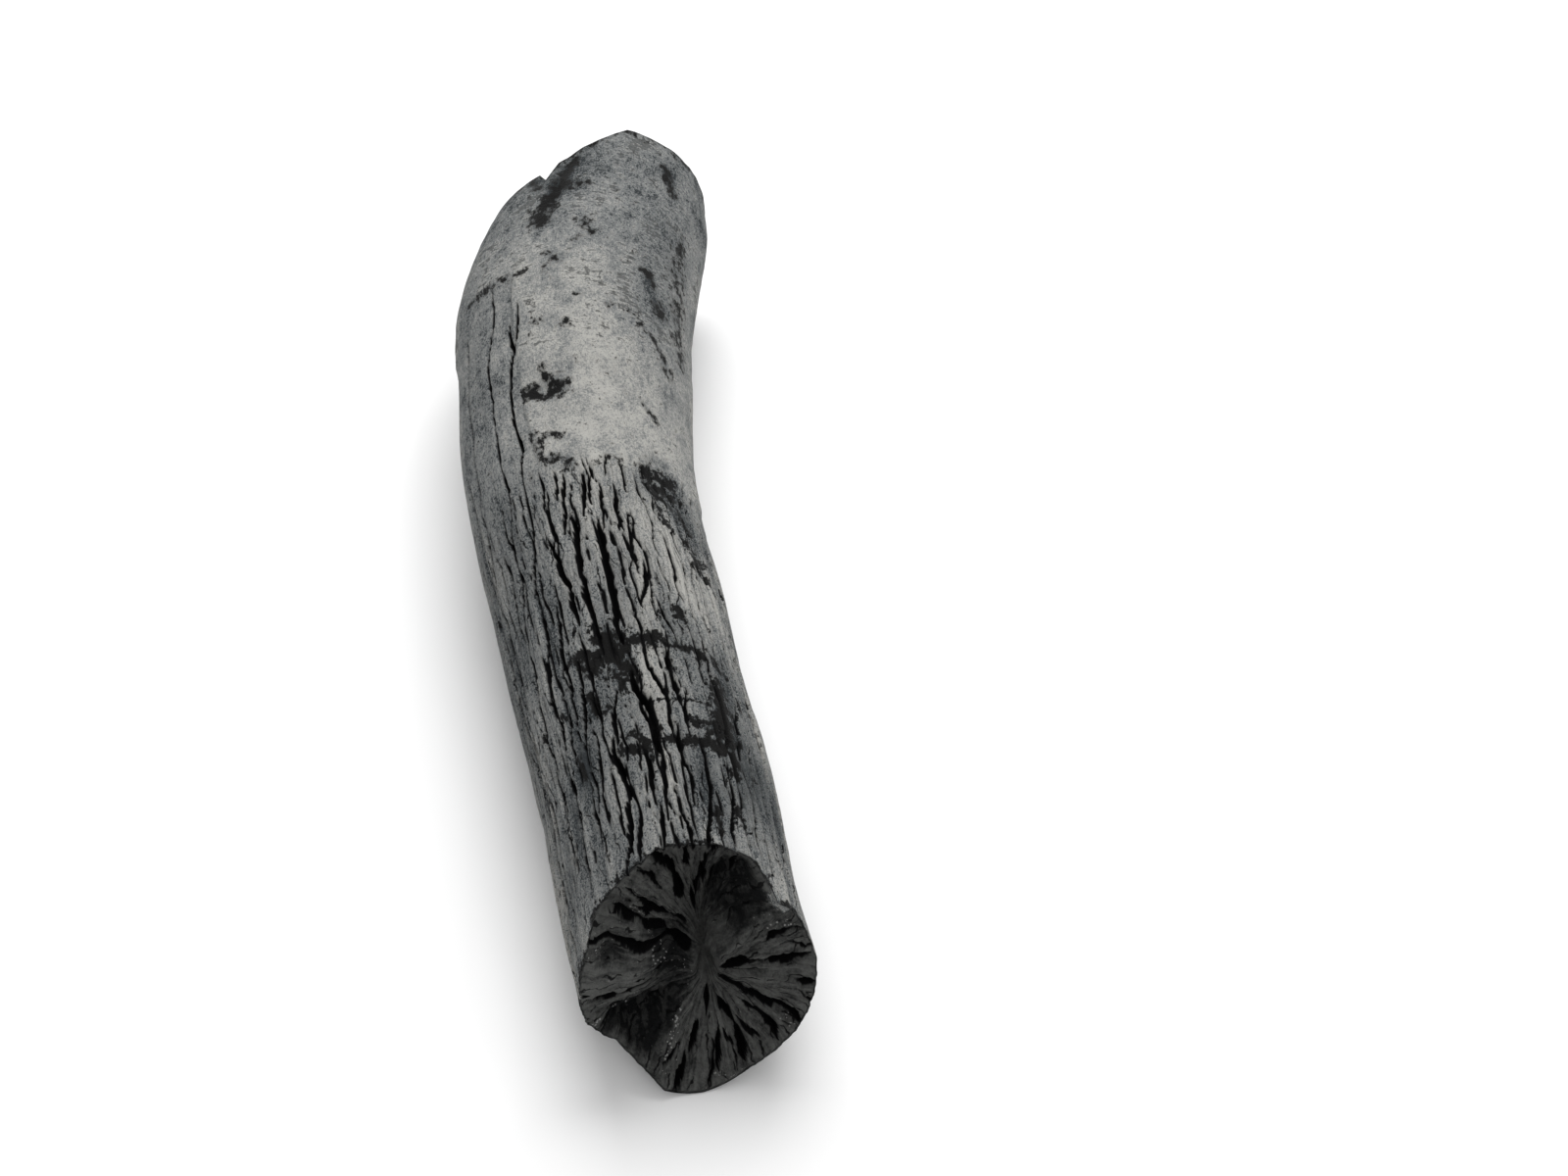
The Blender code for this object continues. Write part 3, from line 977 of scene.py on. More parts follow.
@dataclass
class Weather:
    """What fire and ash left on the side: soot marks and the tone of the ash."""

    marks: tuple[Mark, ...] = MARKS
    tones: tuple[Tone, ...] = TONES
    scale: float = 22.5
    near_tone: float = 0.58
    far_tone: float = 0.64
    smoke_tone: float = -0.30
    smoke_stations: Point = (168.0, 232.0)
    tone_stations: Point = (70.0, 135.0)
    skin_tone: float = 0.80
    spread: float = 2.2

    def soot(self, station: Array, angle: Array) -> Array:
        """How sooty each point of the side is.

        Args:
            station: where along the branch.
            angle: where round it.

        Returns:
            From 0 for clean ash to 1 for soot.
        """
        black = np.zeros_like(station)
        for mark in self.marks:
            for (s0, a0), (s1, a1) in zip(mark.points, mark.points[1:]):
                along = np.array([s1 - s0, math.radians(a1 - a0) * self.scale])
                off_s = station - s0
                off_a = np.radians(turn(angle - a0)) * self.scale
                share = (off_s * along[0] + off_a * along[1]) / (along @ along)
                share = np.clip(share, 0.0, 1.0)
                away = np.hypot(off_s - share * along[0], off_a - share * along[1])
                near = 1.0 - away / (self.spread * mark.half_width)
                black = np.maximum(black, mark.strength * near)
        return black

    def tone(self, station: Array, angle: Array, skin: Array) -> Array:
        """How pale the ash is at each point of the side.

        Args:
            station: where along the branch.
            angle: where round it.
            skin: where the smooth skin of ash is.

        Returns:
            From 0 for thin dark ash to 1 for thick pale ash.
        """
        further = smooth_step(station, *self.tone_stations)
        bare = self.near_tone + (self.far_tone - self.near_tone) * further
        pale = bare + (self.skin_tone - bare) * skin
        pale = pale + self.smoke_tone * smooth_step(station, *self.smoke_stations)
        for tone in self.tones:
            off = np.radians(turn(angle - tone.angle)) * self.scale
            near = bump(station - tone.station, tone.half_length) * bump(off, tone.half_width)
            pale = pale + tone.amount * near
        return np.clip(pale, 0.0, 1.0)


class Wire:
    """A socket of the shader, with Python's operators for values."""

    def __init__(self, shader: "Shader", socket: bpy.types.NodeSocket) -> None:
        """Wraps a socket.

        Args:
            shader: the shader that the socket is in.
            socket: an output socket.
        """
        self.shader = shader
        self.socket = socket

    def __add__(self, other: "Wire | float") -> "Wire":
        """Adds a value."""
        return self.shader.math("ADD", self, other)

    def __radd__(self, other: float) -> "Wire":
        """Is added to a number."""
        return self.shader.math("ADD", other, self)

    def __sub__(self, other: "Wire | float") -> "Wire":
        """Takes a value off."""
        return self.shader.math("SUBTRACT", self, other)

    def __rsub__(self, other: float) -> "Wire":
        """Is taken off a number."""
        return self.shader.math("SUBTRACT", other, self)

    def __mul__(self, other: "Wire | float") -> "Wire":
        """Multiplies by a value."""
        return self.shader.math("MULTIPLY", self, other)

    def __rmul__(self, other: float) -> "Wire":
        """Multiplies a number."""
        return self.shader.math("MULTIPLY", other, self)

    def __pow__(self, other: float) -> "Wire":
        """Is raised to a power."""
        return self.shader.math("POWER", self, other)

    def step(self, low: float, high: float) -> "Wire":
        """Graded from 0 at low to 1 at high, with soft ends.

        Args:
            low: where the result is 0.
            high: where the result is 1.

        Returns:
            The graded value.
        """
        settings = {"interpolation_type": "SMOOTHSTEP"}
        sockets = {"Value": self, "From Min": low, "From Max": high}
        return self.shader.node("ShaderNodeMapRange", settings, sockets)

    def most(self, other: "Wire | float") -> "Wire":
        """The greater of two values."""
        return self.shader.math("MAXIMUM", self, other)

    def __abs__(self) -> "Wire":
        """The value without its sign."""
        return self.shader.math("ABSOLUTE", self, 0.0)

    def __mod__(self, other: float) -> "Wire":
        """What is left over a multiple, never negative."""
        return self.shader.math("FLOORED_MODULO", self, other)


class Shader:
    """A material whose nodes are written as expressions."""

    def __init__(self, name: str) -> None:
        """Makes an empty material.

        Args:
            name: the material's name.
        """
        self.material = bpy.data.materials.new(name)
        self.material.use_nodes = True
        self.tree = self.material.node_tree
        self.tree.nodes.clear()

    def node(
        self,
        kind: str,
        settings: dict[str, object],
        sockets: dict[str, object],
        output: str = "",
    ) -> Wire:
        """Makes any node.

        Args:
            kind: the node's type.
            settings: its settings, which are set first.
            sockets: the values or wires of its inputs, by identifier.
            output: the identifier of the output to use, or none for the first.

        Returns:
            The output.
        """
        made = self.tree.nodes.new(kind)
        for name, value in settings.items():
            setattr(made, name, value)
        by_name = {socket.identifier: socket for socket in made.inputs}
        for name, value in sockets.items():
            if isinstance(value, Wire):
                self.tree.links.new(value.socket, by_name[name])
            else:
                by_name[name].default_value = value
        outputs = {socket.identifier: socket for socket in made.outputs}
        return Wire(self, outputs[output] if output else made.outputs[0])

    def finish(self, surface: Wire) -> bpy.types.Material:
        """Joins a surface to the material's output.

        Args:
            surface: the shader's output.

        Returns:
            The finished material.
        """
        output = self.tree.nodes.new("ShaderNodeOutputMaterial")
        self.tree.links.new(surface.socket, output.inputs["Surface"])
        return self.material

    def math(self, operation: str, first: Wire | float, second: Wire | float) -> Wire:
        """A Math node.

        Args:
            operation: what it does.
            first: its first value.
            second: its second value.

        Returns:
            The result.
        """
        sockets = {"Value": first, "Value_001": second}
        return self.node("ShaderNodeMath", {"operation": operation}, sockets)

    def mix(self, share: Wire | float, first: Wire | Colour, second: Wire | Colour) -> Wire:
        """A colour between two.

        Args:
            share: how much of the second there is.
            first: the first colour.
            second: the second colour.

        Returns:
            The mixed colour.
        """
        settings = {"data_type": "RGBA", "clamp_factor": True}
        sockets = {"Factor_Float": share, "A_Color": first, "B_Color": second}
        return self.node("ShaderNodeMix", settings, sockets, "Result_Color")

    def attribute(self, name: str, output: str = "Fac") -> Wire:
        """A value that the mesh carries.

        Args:
            name: the attribute's name.
            output: which of the node's outputs to use.

        Returns:
            The value.
        """
        return self.node("ShaderNodeAttribute", {"attribute_name": name}, {}, output)

    def scaled(self, place: Wire, across: float, along: float) -> Wire:
        """A place on the branch, scaled so that noise takes the grain's shape.

        Args:
            place: the place, in millimetres.
            across: how much to scale it across the grain.
            along: how much to scale it along the grain.

        Returns:
            The scaled place.
        """
        sockets = {"Vector": place, "Vector_001": (across, across, along)}
        return self.node("ShaderNodeVectorMath", {"operation": "MULTIPLY"}, sockets)

    def rays(self, place: Wire, around: float, outward: float) -> Wire:
        """A place on a broken end, scaled so that noise runs out from the pith.

        Args:
            place: the place, in millimetres from the pith.
            around: how much to scale it round the pith.
            outward: how much to scale it away from the pith.

        Returns:
            The scaled place.
        """
        across, up = self.split(place)
        angle = self.math("ARCTAN2", across, up)
        reach = (across * across + up * up) ** 0.5
        sockets = {"X": angle * around, "Y": reach * outward, "Z": 0.0}
        return self.node("ShaderNodeCombineXYZ", {}, sockets)

    def noise(self, place: Wire, detail: float, roughness: float = 0.6) -> Wire:
        """Noise about 0, mostly between -0.5 and 0.5.

        Args:
            place: where to read it.
            detail: how many finer layers it has.
            roughness: how strong those are.

        Returns:
            The noise.
        """
        sockets = {"Vector": place, "Scale": 1.0, "Detail": detail, "Roughness": roughness}
        return 2.6 * self.node("ShaderNodeTexNoise", {}, sockets) - 1.3

    def dots(self, place: Wire, crowd: float) -> Wire:
        """How far each point is from the nearest of many scattered dots.

        Args:
            place: the place, in millimetres.
            crowd: how many dots there are along a millimetre.

        Returns:
            The distance, as a share of the dots' spacing.
        """
        return self.node("ShaderNodeTexVoronoi", {}, {"Vector": place, "Scale": crowd})

    def split(self, place: Wire) -> tuple[Wire, Wire]:
        """The parts of a place that lie across the branch.

        Args:
            place: the place, in millimetres.

        Returns:
            How far to the side it is, and how far up.
        """
        sockets = {"Vector": place}
        return tuple(
            self.node("ShaderNodeSeparateXYZ", {}, sockets, part) for part in ("X", "Y")
        )


@dataclass(frozen=True)
class Noise:
    """A shader's noise: how fine it is across and along the grain, and its detail."""

    across: float
    along: float
    detail: float
    roughness: float = 0.6

    def read(self, s: Shader, place: Wire) -> Wire:
        """The noise at each place on the branch."""
        return s.noise(s.scaled(place, self.across, self.along), self.detail, self.roughness)

    def radial(self, s: Shader, place: Wire) -> Wire:
        """The noise on a broken end, run out from its pith."""
        return s.noise(s.rays(place, self.across, self.along), self.detail, self.roughness)


Mix = tuple[tuple[str, float], ...]


def weigh(noises: dict[str, Wire], mix: Mix) -> Wire:
    """Noises added up, each by its weight.

    Args:
        noises: the noises by name.
        mix: the names and weights.

    Returns:
        The sum.
    """
    return reduce(add, (weight * noises[name] for name, weight in mix))


@dataclass(frozen=True)
class HairCracks:
    """Fine wavy lines along the grain, in lanes that a noise bends."""

    lanes: int
    slow_bend: float
    quick_bend: float
    half_width: float
    width_swing: float
    soft: float
    girth: float = 141.0
    slow: Noise = Noise(0.10, 0.035, 2.0)
    quick: Noise = Noise(0.28, 0.20, 3.0)
    swing: Noise = Noise(0.4, 0.06, 2.0)

    def lines(self, s: Shader, place: Wire) -> Wire:
        """Where the lines are.

        Args:
            s: the shader that they are for.
            place: the place on the branch, in millimetres.

        Returns:
            From 0 between the lines to 1 on them.
        """
        across, up = s.split(place)
        lane = s.math("ARCTAN2", across, up) * (self.lanes / (2 * math.pi))
        lane = lane + self.slow_bend * self.slow.read(s, place)
        lane = lane + self.quick_bend * self.quick.read(s, place)
        away = abs(lane % 1.0 - 0.5) * (self.girth / self.lanes)
        width = self.half_width + self.width_swing * self.swing.read(s, place)
        return (width - away).step(-0.5 * self.soft, 0.5 * self.soft)


@dataclass
class Masks:
    """What the finish reads at each point: noises, and how much there is of each ground."""

    place: Wire
    noise: dict[str, Wire]
    tone: Wire
    dust_light_and_shade: Wire
    skin: Wire
    wood: Wire
    broken: Wire
    black: Wire
    thin: Wire
    hair: Wire
    hollow: Wire
    spoke: Wire


@dataclass(frozen=True)
class AshenCharcoal:
    """Black charcoal under a worn coat of ash."""

    pale_ash: Colour = (0.450, 0.442, 0.414, 1.0)
    grey_ash: Colour = (0.185, 0.194, 0.195, 1.0)
    thin_ash: Colour = (0.034, 0.039, 0.042, 1.0)
    soot: Colour = (0.0070, 0.0070, 0.0068, 1.0)
    # Crack colour: the charcoal's black, made darker still as painted shade inside the grooves.
    crack: Colour = (0.0020, 0.0020, 0.0024, 1.0)
    face: Colour = (0.0130, 0.0138, 0.0142, 1.0)
    face_dust: Colour = (0.156, 0.159, 0.152, 1.0)
    speck: Colour = (0.46, 0.46, 0.45, 1.0)
    ash_roughness: float = 0.92
    black_roughness: float = 0.60
    shine: float = 0.07
    cracks: HairCracks = HairCracks(46, 1.5, 0.55, 0.07, 0.24, 0.14)
    fibres: HairCracks = HairCracks(150, 2.6, 0.9, 0.06, 0.26, 0.22)
    spokes: HairCracks = HairCracks(52, 0.9, 0.5, 0.08, 0.40, 0.14)
    cloud: Noise = Noise(0.16, 0.11, 4.0)
    patch: Noise = Noise(0.55, 0.42, 4.0)
    fleck: Noise = Noise(1.5, 0.9, 5.0, 0.65)
    fibre: Noise = Noise(2.4, 0.28, 5.0)
    dash: Noise = Noise(0.45, 1.5, 4.0)
    pore: Noise = Noise(4.5, 3.2, 3.0)
    grit: Noise = Noise(3.0, 2.2, 4.0, 0.7)
    rays: Noise = Noise(22.0, 0.16, 4.0, 0.65)
    slabs: Noise = Noise(7.0, 0.30, 3.0, 0.55)

    skin_mix: Mix = (("patch", 0.22), ("cloud", 0.12))
    skin_span: Point = (0.46, 0.54)
    broken_mix: Mix = (("fleck", 0.35), ("patch", 0.3))
    broken_span: Point = (0.44, 0.56)
    black_mix: Mix = (("fleck", 0.55), ("patch", 0.95), ("grit", 0.30))
    black_on_wood: Point = (0.40, 0.64)
    black_on_skin: Point = (0.26, 0.80)

    pale_mix: Mix = (("cloud", 0.42), ("patch", 0.46), ("fleck", 0.46), ("grit", 0.88))
    skin_cloud: float = 0.25
    woody_mix: Mix = (("fibre", 0.34), ("grit", 0.50), ("pore", 0.35))
    # Paler ash where the side stands proud, plus the painted highlight on the lips of open cracks.
    proud_ash_and_lip_highlight: float = 0.40
    grey_span: Point = (0.0, 0.52)
    pale_span: Point = (0.40, 1.35)

    worn_mix: Mix = (
        ("fibre", 0.36), ("fleck", 0.55), ("grit", 1.05), ("patch", 0.45), ("cloud", 0.3),
        ("pore", 0.35),
    )  # fmt: skip
    worn_base: float = 0.25
    worn_tone: float = 0.45
    worn_span: Point = (0.24, 0.42)
    worn_share: float = 0.78
    burnt_mix: Mix = (("dash", 0.65), ("cloud", 0.8), ("patch", 0.6), ("fleck", 0.45))
    burnt_tone: float = 0.5
    burnt_span: Point = (-0.12, 0.12)
    burnt_share: float = 0.7
    fibre_share: float = 0.45
    hair_place: Point = (0.5, 1.6)
    hair_span: Point = (0.2, 0.7)

    hollow_span: Point = (-0.6, 0.5)
    dusty_mix: Mix = (("fleck", 0.3), ("patch", 0.25), ("grit", 0.2), ("rays", 0.65))
    dusty_span: Point = (-0.1, 1.0)
    slab_fleck: float = 0.25
    slab_span: Point = (0.04, 0.16)
    slab_share: float = 0.26
    speck_crowd: float = 1.4
    speck_size: float = 0.05
    speck_mix: Mix = (("patch", 0.22), ("fleck", 0.12))
    speck_chalk: float = 0.28
    speck_soft: float = 0.05
    speck_share: float = 0.85
    spoke_share: float = 0.9
    open_span: Point = (0.16, 0.62)

    bump_mix: Mix = (("fleck", 0.14), ("pore", 0.10), ("patch", 0.12))
    bump_fibre: float = 0.15
    bump_broken: float = 1.6
    bump_rays: float = 0.40
    bump_spoke: float = 0.50
    bump_hollow: Mix = (("patch", 0.9), ("fleck", 0.5))
    bump_hair: float = 0.35
    bump_thin: float = 0.10

    def masks(self, s: Shader) -> Masks:
        """Reads the mesh's values and the noises.

        Args:
            s: the shader.

        Returns:
            What the rest of the finish needs.
        """
        place = s.attribute("grain_place", "Vector")
        names = ("cloud", "patch", "fleck", "fibre", "dash", "pore", "grit")
        noise = {name: getattr(self, name).read(s, place) for name in names}
        noise["rays"] = self.rays.radial(s, place)
        tone = s.attribute("tone")
        dust_light_and_shade = s.attribute("dust_light_and_shade")

        skin = (s.attribute("skin") + weigh(noise, self.skin_mix)).step(*self.skin_span)
        wood = (1.0 - skin) * s.attribute("bark")
        broken = s.attribute("broken") + weigh(noise, self.broken_mix)
        broken = broken.step(*self.broken_span)

        sooty = s.attribute("soot") + weigh(noise, self.black_mix)
        black = sooty.step(*self.black_on_wood) * (1.0 - skin)
        black = black + sooty.step(*self.black_on_skin) * skin

        worn = weigh(noise, self.worn_mix) + self.worn_base - self.worn_tone * tone
        worn = worn.step(*self.worn_span) * wood * self.worn_share
        burnt = weigh(noise, self.burnt_mix) - self.burnt_tone * tone
        burnt = burnt.step(*self.burnt_span) * skin * self.burnt_share

        base, swing = self.hair_place
        here = (base - swing * noise["cloud"]).step(*self.hair_span)
        return Masks(
            place=place,
            noise=noise,
            tone=tone,
            dust_light_and_shade=dust_light_and_shade,
            skin=skin,
            wood=wood,
            broken=broken,
            black=black,
            thin=worn.most(burnt),
            hair=self.cracks.lines(s, place) * wood * here,
            hollow=1.0 - dust_light_and_shade.step(*self.hollow_span),
            spoke=self.spokes.lines(s, place) * broken,
        )

    def ash(self, s: Shader, m: Masks) -> Wire:
        """The side's colour: black, grey and pale ash, and soot.

        Args:
            s: the shader.
            m: what it reads.

        Returns:
            The colour.
        """
        pale = m.tone + weigh(m.noise, self.pale_mix) + self.skin_cloud * m.skin * m.noise["cloud"]
        # The proud attribute carries the painted highlight on the crack lips as well as the raised
        # relief.
        woody_and_lip_highlight = weigh(m.noise, self.woody_mix) + self.proud_ash_and_lip_highlight * s.attribute("proud")
        pale = pale + woody_and_lip_highlight * m.wood
        colour = s.mix(pale.step(*self.grey_span), self.thin_ash, self.grey_ash)
        colour = s.mix(pale.step(*self.pale_span), colour, self.pale_ash)
        colour = s.mix(m.thin, colour, self.thin_ash)
        fibres = self.fibres.lines(s, m.place) * m.wood * self.fibre_share
        colour = s.mix(fibres, colour, self.thin_ash)
        return s.mix(m.black, colour, self.soot)

    def ends(self, s: Shader, m: Masks) -> Wire:
        """The broken ends' colour: dusty black with slabs, specks and spokes, paler on the shelf
        as painted light and darker in the hollows as painted shade.

        Args:
            s: the shader.
            m: what it reads.

        Returns:
            The colour.
        """
        # The dust carries painted light on the shelf and painted shade in the hollows.
        dusty = m.dust_light_and_shade + weigh(m.noise, self.dusty_mix)
        colour = s.mix(dusty.step(*self.dusty_span), self.face, self.face_dust)
        slabs = self.slabs.radial(s, m.place) + self.slab_fleck * m.noise["fleck"]
        slabs = slabs.step(*self.slab_span) * m.hollow * self.slab_share
        colour = s.mix(slabs, colour, self.face_dust)
        size = self.speck_size + weigh(m.noise, self.speck_mix)
        size = size + self.speck_chalk * s.attribute("chalk")
        specks = (size - s.dots(m.place, self.speck_crowd)).step(0.0, self.speck_soft)
        colour = s.mix(self.speck_share * specks, colour, self.speck)
        # The spokes take the crack colour, with its painted shade.
        return s.mix(self.spoke_share * m.spoke, colour, self.crack)

    def relief(self, m: Masks) -> Wire:
        """The height of what is too fine for the mesh.

        Args:
            m: what it reads.

        Returns:
            The height, in millimetres.
        """
        grain = weigh(m.noise, self.bump_mix) + self.bump_fibre * m.noise["fibre"] * m.wood
        ragged = self.bump_rays * m.noise["rays"] - self.bump_spoke * m.spoke
        ragged = ragged + m.hollow * weigh(m.noise, self.bump_hollow)
        height = grain * (1.0 + self.bump_broken * m.broken) + ragged * m.broken
        return height - self.bump_hair * m.hair - self.bump_thin * m.thin

    def material(self) -> bpy.types.Material:
        """Makes the material.

        Returns:
            The material.
        """
        s = Shader("ashen_charcoal")
        m = self.masks(s)
        colour = s.mix(m.broken, self.ash(s, m), self.ends(s, m))
        # Open cracks and hair lines are painted near-black: the charcoal's own black plus painted
        # shade in the grooves.
        crack_black_and_shade = s.attribute("crack").step(*self.open_span)
        crack_black_and_shade = crack_black_and_shade.most(m.hair * (1.0 - m.broken))
        colour = s.mix(crack_black_and_shade, colour, self.crack)
        smoother = self.ash_roughness - self.black_roughness
        roughness = self.ash_roughness - smoother * m.black.most(m.broken)
        sockets = {"Strength": 1.0, "Distance": MM, "Height": self.relief(m)}
        normal = s.node("ShaderNodeBump", {}, sockets)
        sockets = {"Base Color": colour, "Roughness": roughness, "Normal": normal}
        sockets["Specular IOR Level"] = self.shine
        return s.finish(s.node("ShaderNodeBsdfPrincipled", {}, sockets))


@dataclass
class Surface:
    """Points of the surface with what the finish reads from them."""

    points: Array
    grain_place: Array
    crack: Array
    tone: Array
    skin: Array
    soot: Array
    broken: Array
    dust_light_and_shade: Array
    chalk: Array
    proud: Array
    bark: Array


@dataclass
class CharcoalLump:
    """The whole stick, as one fine mesh."""

    branch: Branch = field(default_factory=Branch)
    cracks: Cracks = field(default_factory=Cracks)
    weather: Weather = field(default_factory=Weather)
    finish: AshenCharcoal = field(default_factory=AshenCharcoal)
    columns: int = 360
    near_rings: int = 50
    side_spans: int = 196
    far_rings: int = 16
    crowding: float = 0.3
    # The groove depth at which the painted crack shade is full.
    crack_black_depth: float = 0.9
    fibre_seed: int = 21
    wood_layers: tuple[Layer, ...] = (
        Layer(0.13, 14.0, 1.7), Layer(0.08, 6.0, 1.2), Layer(0.30, 22.0, 6.0),
    )  # fmt: skip
    swell_layers: tuple[Layer, ...] = (Layer(0.22, 16.0, 14.0),)
    crust_layers: tuple[Layer, ...] = (Layer(0.12, 5.0, 9.0), Layer(0.07, 2.6, 4.0))
    rim_layers: tuple[Layer, ...] = (Layer(2.2, 60.0, 11.0),)
    end_layers: tuple[Layer, ...] = (
        Layer(0.30, 40.0, 7.0), Layer(0.20, 16.0, 3.0), Layer(0.10, 8.0, 1.6),
    )  # fmt: skip
    end_span: float = 240.0
    calm: Point = (108.0, 140.0)
    calm_share: float = 0.6
    flat_below: Point = (14.0, 26.0)
    skin_blend: float = 8.0
    lip_wear: float = 0.25
    # Painted highlight: the lips of open cracks are made paler, as where light catches their
    # edges.
    lip_highlight: float = 0.50
    proud_height: float = 0.4
    rim_soot: Point = (0.64, 2.4)
    rim_broken: Point = (0.45, 1.5)
    far_rim_share: float = 0.6
    ragged_rim: Point = (49.0, 9.0)
    ragged_share: float = 0.75
    bark_end: Point = (108.0, 136.0)
    bark_loss: float = 0.85
    hollow_rough: float = 0.25
    end_dust: float = 0.55
    # Painted light: the shelf left of the pith is made paler, as where the top light falls on it.
    shelf_light: float = 0.30
    # Painted shade: the broken ends are made darker where the face is sunk deeper and in the
    # scoops.
    sunk_shade: float = 0.5
    hollow_shade: float = 0.24
    end_tone: float = 0.7

    def __post_init__(self) -> None:
        """Makes the two ends."""
        self.near = near_end(self.branch)
        self.far = far_end(self.branch)

    def relief(self, station: Array, angle: Array) -> Array:
        """The fine unevenness of the side.

        Args:
            station: where along the branch.
            angle: where round it.

        Returns:
            How far each point stands proud.
        """
        grain = Grain(self.fibre_seed)
        skin = self.branch.skin_share(station, angle)
        bare = (1.0 - skin) * (1.0 - self.calm_share * smooth_step(station, *self.calm))
        wood = grain.layers(station, angle, self.wood_layers)
        swell = grain.layers(station, angle, self.swell_layers)
        crust = grain.layers(station, angle, self.crust_layers)
        from_floor = np.abs(turn(angle - self.branch.resting_angle))
        free = smooth_step(from_floor, *self.flat_below)
        return (bare * wood + skin * crust + swell) * free

    def ragged(self, station: Array, angle: Array) -> Array:
        """How much further the soot of the rims reaches in some places.

        Args:
            station: where along the branch.
            angle: where round it.

        Returns:
            The extra reach at each point.
        """
        return Grain(self.fibre_seed + 2).layers(station, angle, self.rim_layers)

    def side_radius(self, station: Array, angle: Array) -> tuple[Array, Array, Array]:
        """The radius with cracks and relief.

        Args:
            station: where along the branch.
            angle: where round it.

        Returns:
            The radius, how deep in a crack each point is, and how far it stands proud, with a
            painted highlight added on the lips of open cracks.
        """
        radius = self.branch.radius(station, angle)
        traces = self.cracks.traces(self.cracks.all, station)
        depth = self.cracks.depth(angle, radius, traces)
        lip = self.cracks.lip(angle, radius, traces)
        relief = self.relief(station, angle) - self.lip_wear * lip**2
        # The third value adds the painted highlight on the crack lips to the relief.
        return radius + relief - depth, depth, relief + self.lip_highlight * lip**2

    def side(self, share: Array, angle: Array) -> Surface:
        """The side, between the two rims.

        Args:
            share: how far from the near rim to the far rim, in the mesh's rings.
            angle: where round the branch.

        Returns:
            The surface.
        """
        branch = self.branch
        share = share * (1.0 - self.crowding + self.crowding * share)
        near = round_branch(branch.near_rim, angle)
        station = near + share * (round_branch(branch.far_rim, angle) - near)
        angle = self.cracks.pinch(angle, self.cracks.traces(self.cracks.all, station))
        near = round_branch(branch.near_rim, angle)
        far = round_branch(branch.far_rim, angle)
        station = near + share * (far - near)
        radius, depth, relief = self.side_radius(station, angle)
        turned = np.radians(angle)
        across = radius * np.sin(turned)
        up = radius * np.cos(turned)
        skin = branch.skin_share(station, angle)
        edge = round_branch(branch.skin_edge, angle)
        to_rim = np.minimum(station - near, self.far_rim_share * (far - station))
        rim_black, black_reach = self.rim_soot
        rim_bare, bare_reach = self.rim_broken
        rim = 1.0 - smooth_step(to_rim, 0.0, black_reach + self.ragged(station, angle))
        return Surface(
            points=branch.place(station, across, up),
            grain_place=np.stack([across, up, station], axis=-1),
            # Darker the deeper the groove: painted shade on the black charcoal inside the crack.
            crack=np.clip(depth / self.crack_black_depth, 0.0, 1.0),
            tone=self.weather.tone(station, angle, skin),
            skin=np.clip(0.5 + 0.5 * (station - edge) / self.skin_blend, 0.0, 1.0),
            soot=np.maximum(self.weather.soot(station, angle), rim_black * rim),
            broken=rim_bare * (1.0 - smooth_step(to_rim, 0.0, bare_reach)),
            dust_light_and_shade=np.zeros_like(station),
            chalk=np.zeros_like(station),
            # Paler where the side stands proud, and paler again on the crack lips as a painted
            # highlight.
            proud=relief / self.proud_height,
            bark=1.0 - self.bark_loss * smooth_step(station, *self.bark_end),
        )

    def end_face(self, end: BrokenEnd, reach: Array, angle: Array) -> Surface:
        """A broken end, from its pith to its rim.

        Args:
            end: which end.
            reach: how far from the pith to the rim.
            angle: where round the pith.

        Returns:
            The surface.
        """
        traces = end.traces(reach)
        angle = self.cracks.pinch(angle, traces)
        rim = round_branch(end.rim, angle)
        radius, _, _ = self.side_radius(rim, angle)
        turned = np.radians(angle)
        across = end.pith[0] + reach * (radius * np.sin(turned) - end.pith[0])
        up = end.pith[1] + reach * (radius * np.cos(turned) - end.pith[1])
        depth = self.cracks.depth(angle, radius * reach, traces) * smooth_step(reach, 0.0, 0.2)
        grain = Grain(self.fibre_seed + 1)
        rough = grain.layers(reach * self.end_span, angle, self.end_layers)
        scooped = end.scooped(reach, angle)
        rough = rough * (1.0 + self.hollow_rough * scooped)
        fade = smooth_step(reach, 0.0, 0.15) * (1.0 - smooth_step(reach, 0.90, 1.0))
        inward = depth + (rough + end.plates(reach, angle)) * fade
        station = end.station(reach, angle) + end.end.value * inward
        middle, spread = self.ragged_rim
        ashen = bump(turn(angle - middle), spread) * smooth_step(reach, 0.72, 1.0)
        # Real dust, made paler on the shelf left of the pith as painted light, and darker where
        # the face is sunk or scooped as painted shade.
        shelf = bump(turn(angle + 90.0), 12.0) * smooth_step(reach, 0.1, 0.4)
        dust_light_and_shade = self.end_dust + self.shelf_light * shelf
        dust_light_and_shade = dust_light_and_shade - self.sunk_shade * rough - self.hollow_shade * scooped
        return Surface(
            points=self.branch.place(station, across, up),
            grain_place=np.stack([across - end.pith[0], up - end.pith[1], station], axis=-1),
            # Darker the deeper the groove: painted shade on the black charcoal inside the check.
            crack=np.clip(depth / self.crack_black_depth, 0.0, 1.0),
            tone=np.full_like(reach, self.end_tone),
            skin=np.zeros_like(reach),
            soot=np.zeros_like(reach),
            broken=1.0 - self.ragged_share * ashen,
            dust_light_and_shade=dust_light_and_shade,
            chalk=end.chalked(reach, angle),
            proud=-rough,
            bark=np.ones_like(reach),
        )

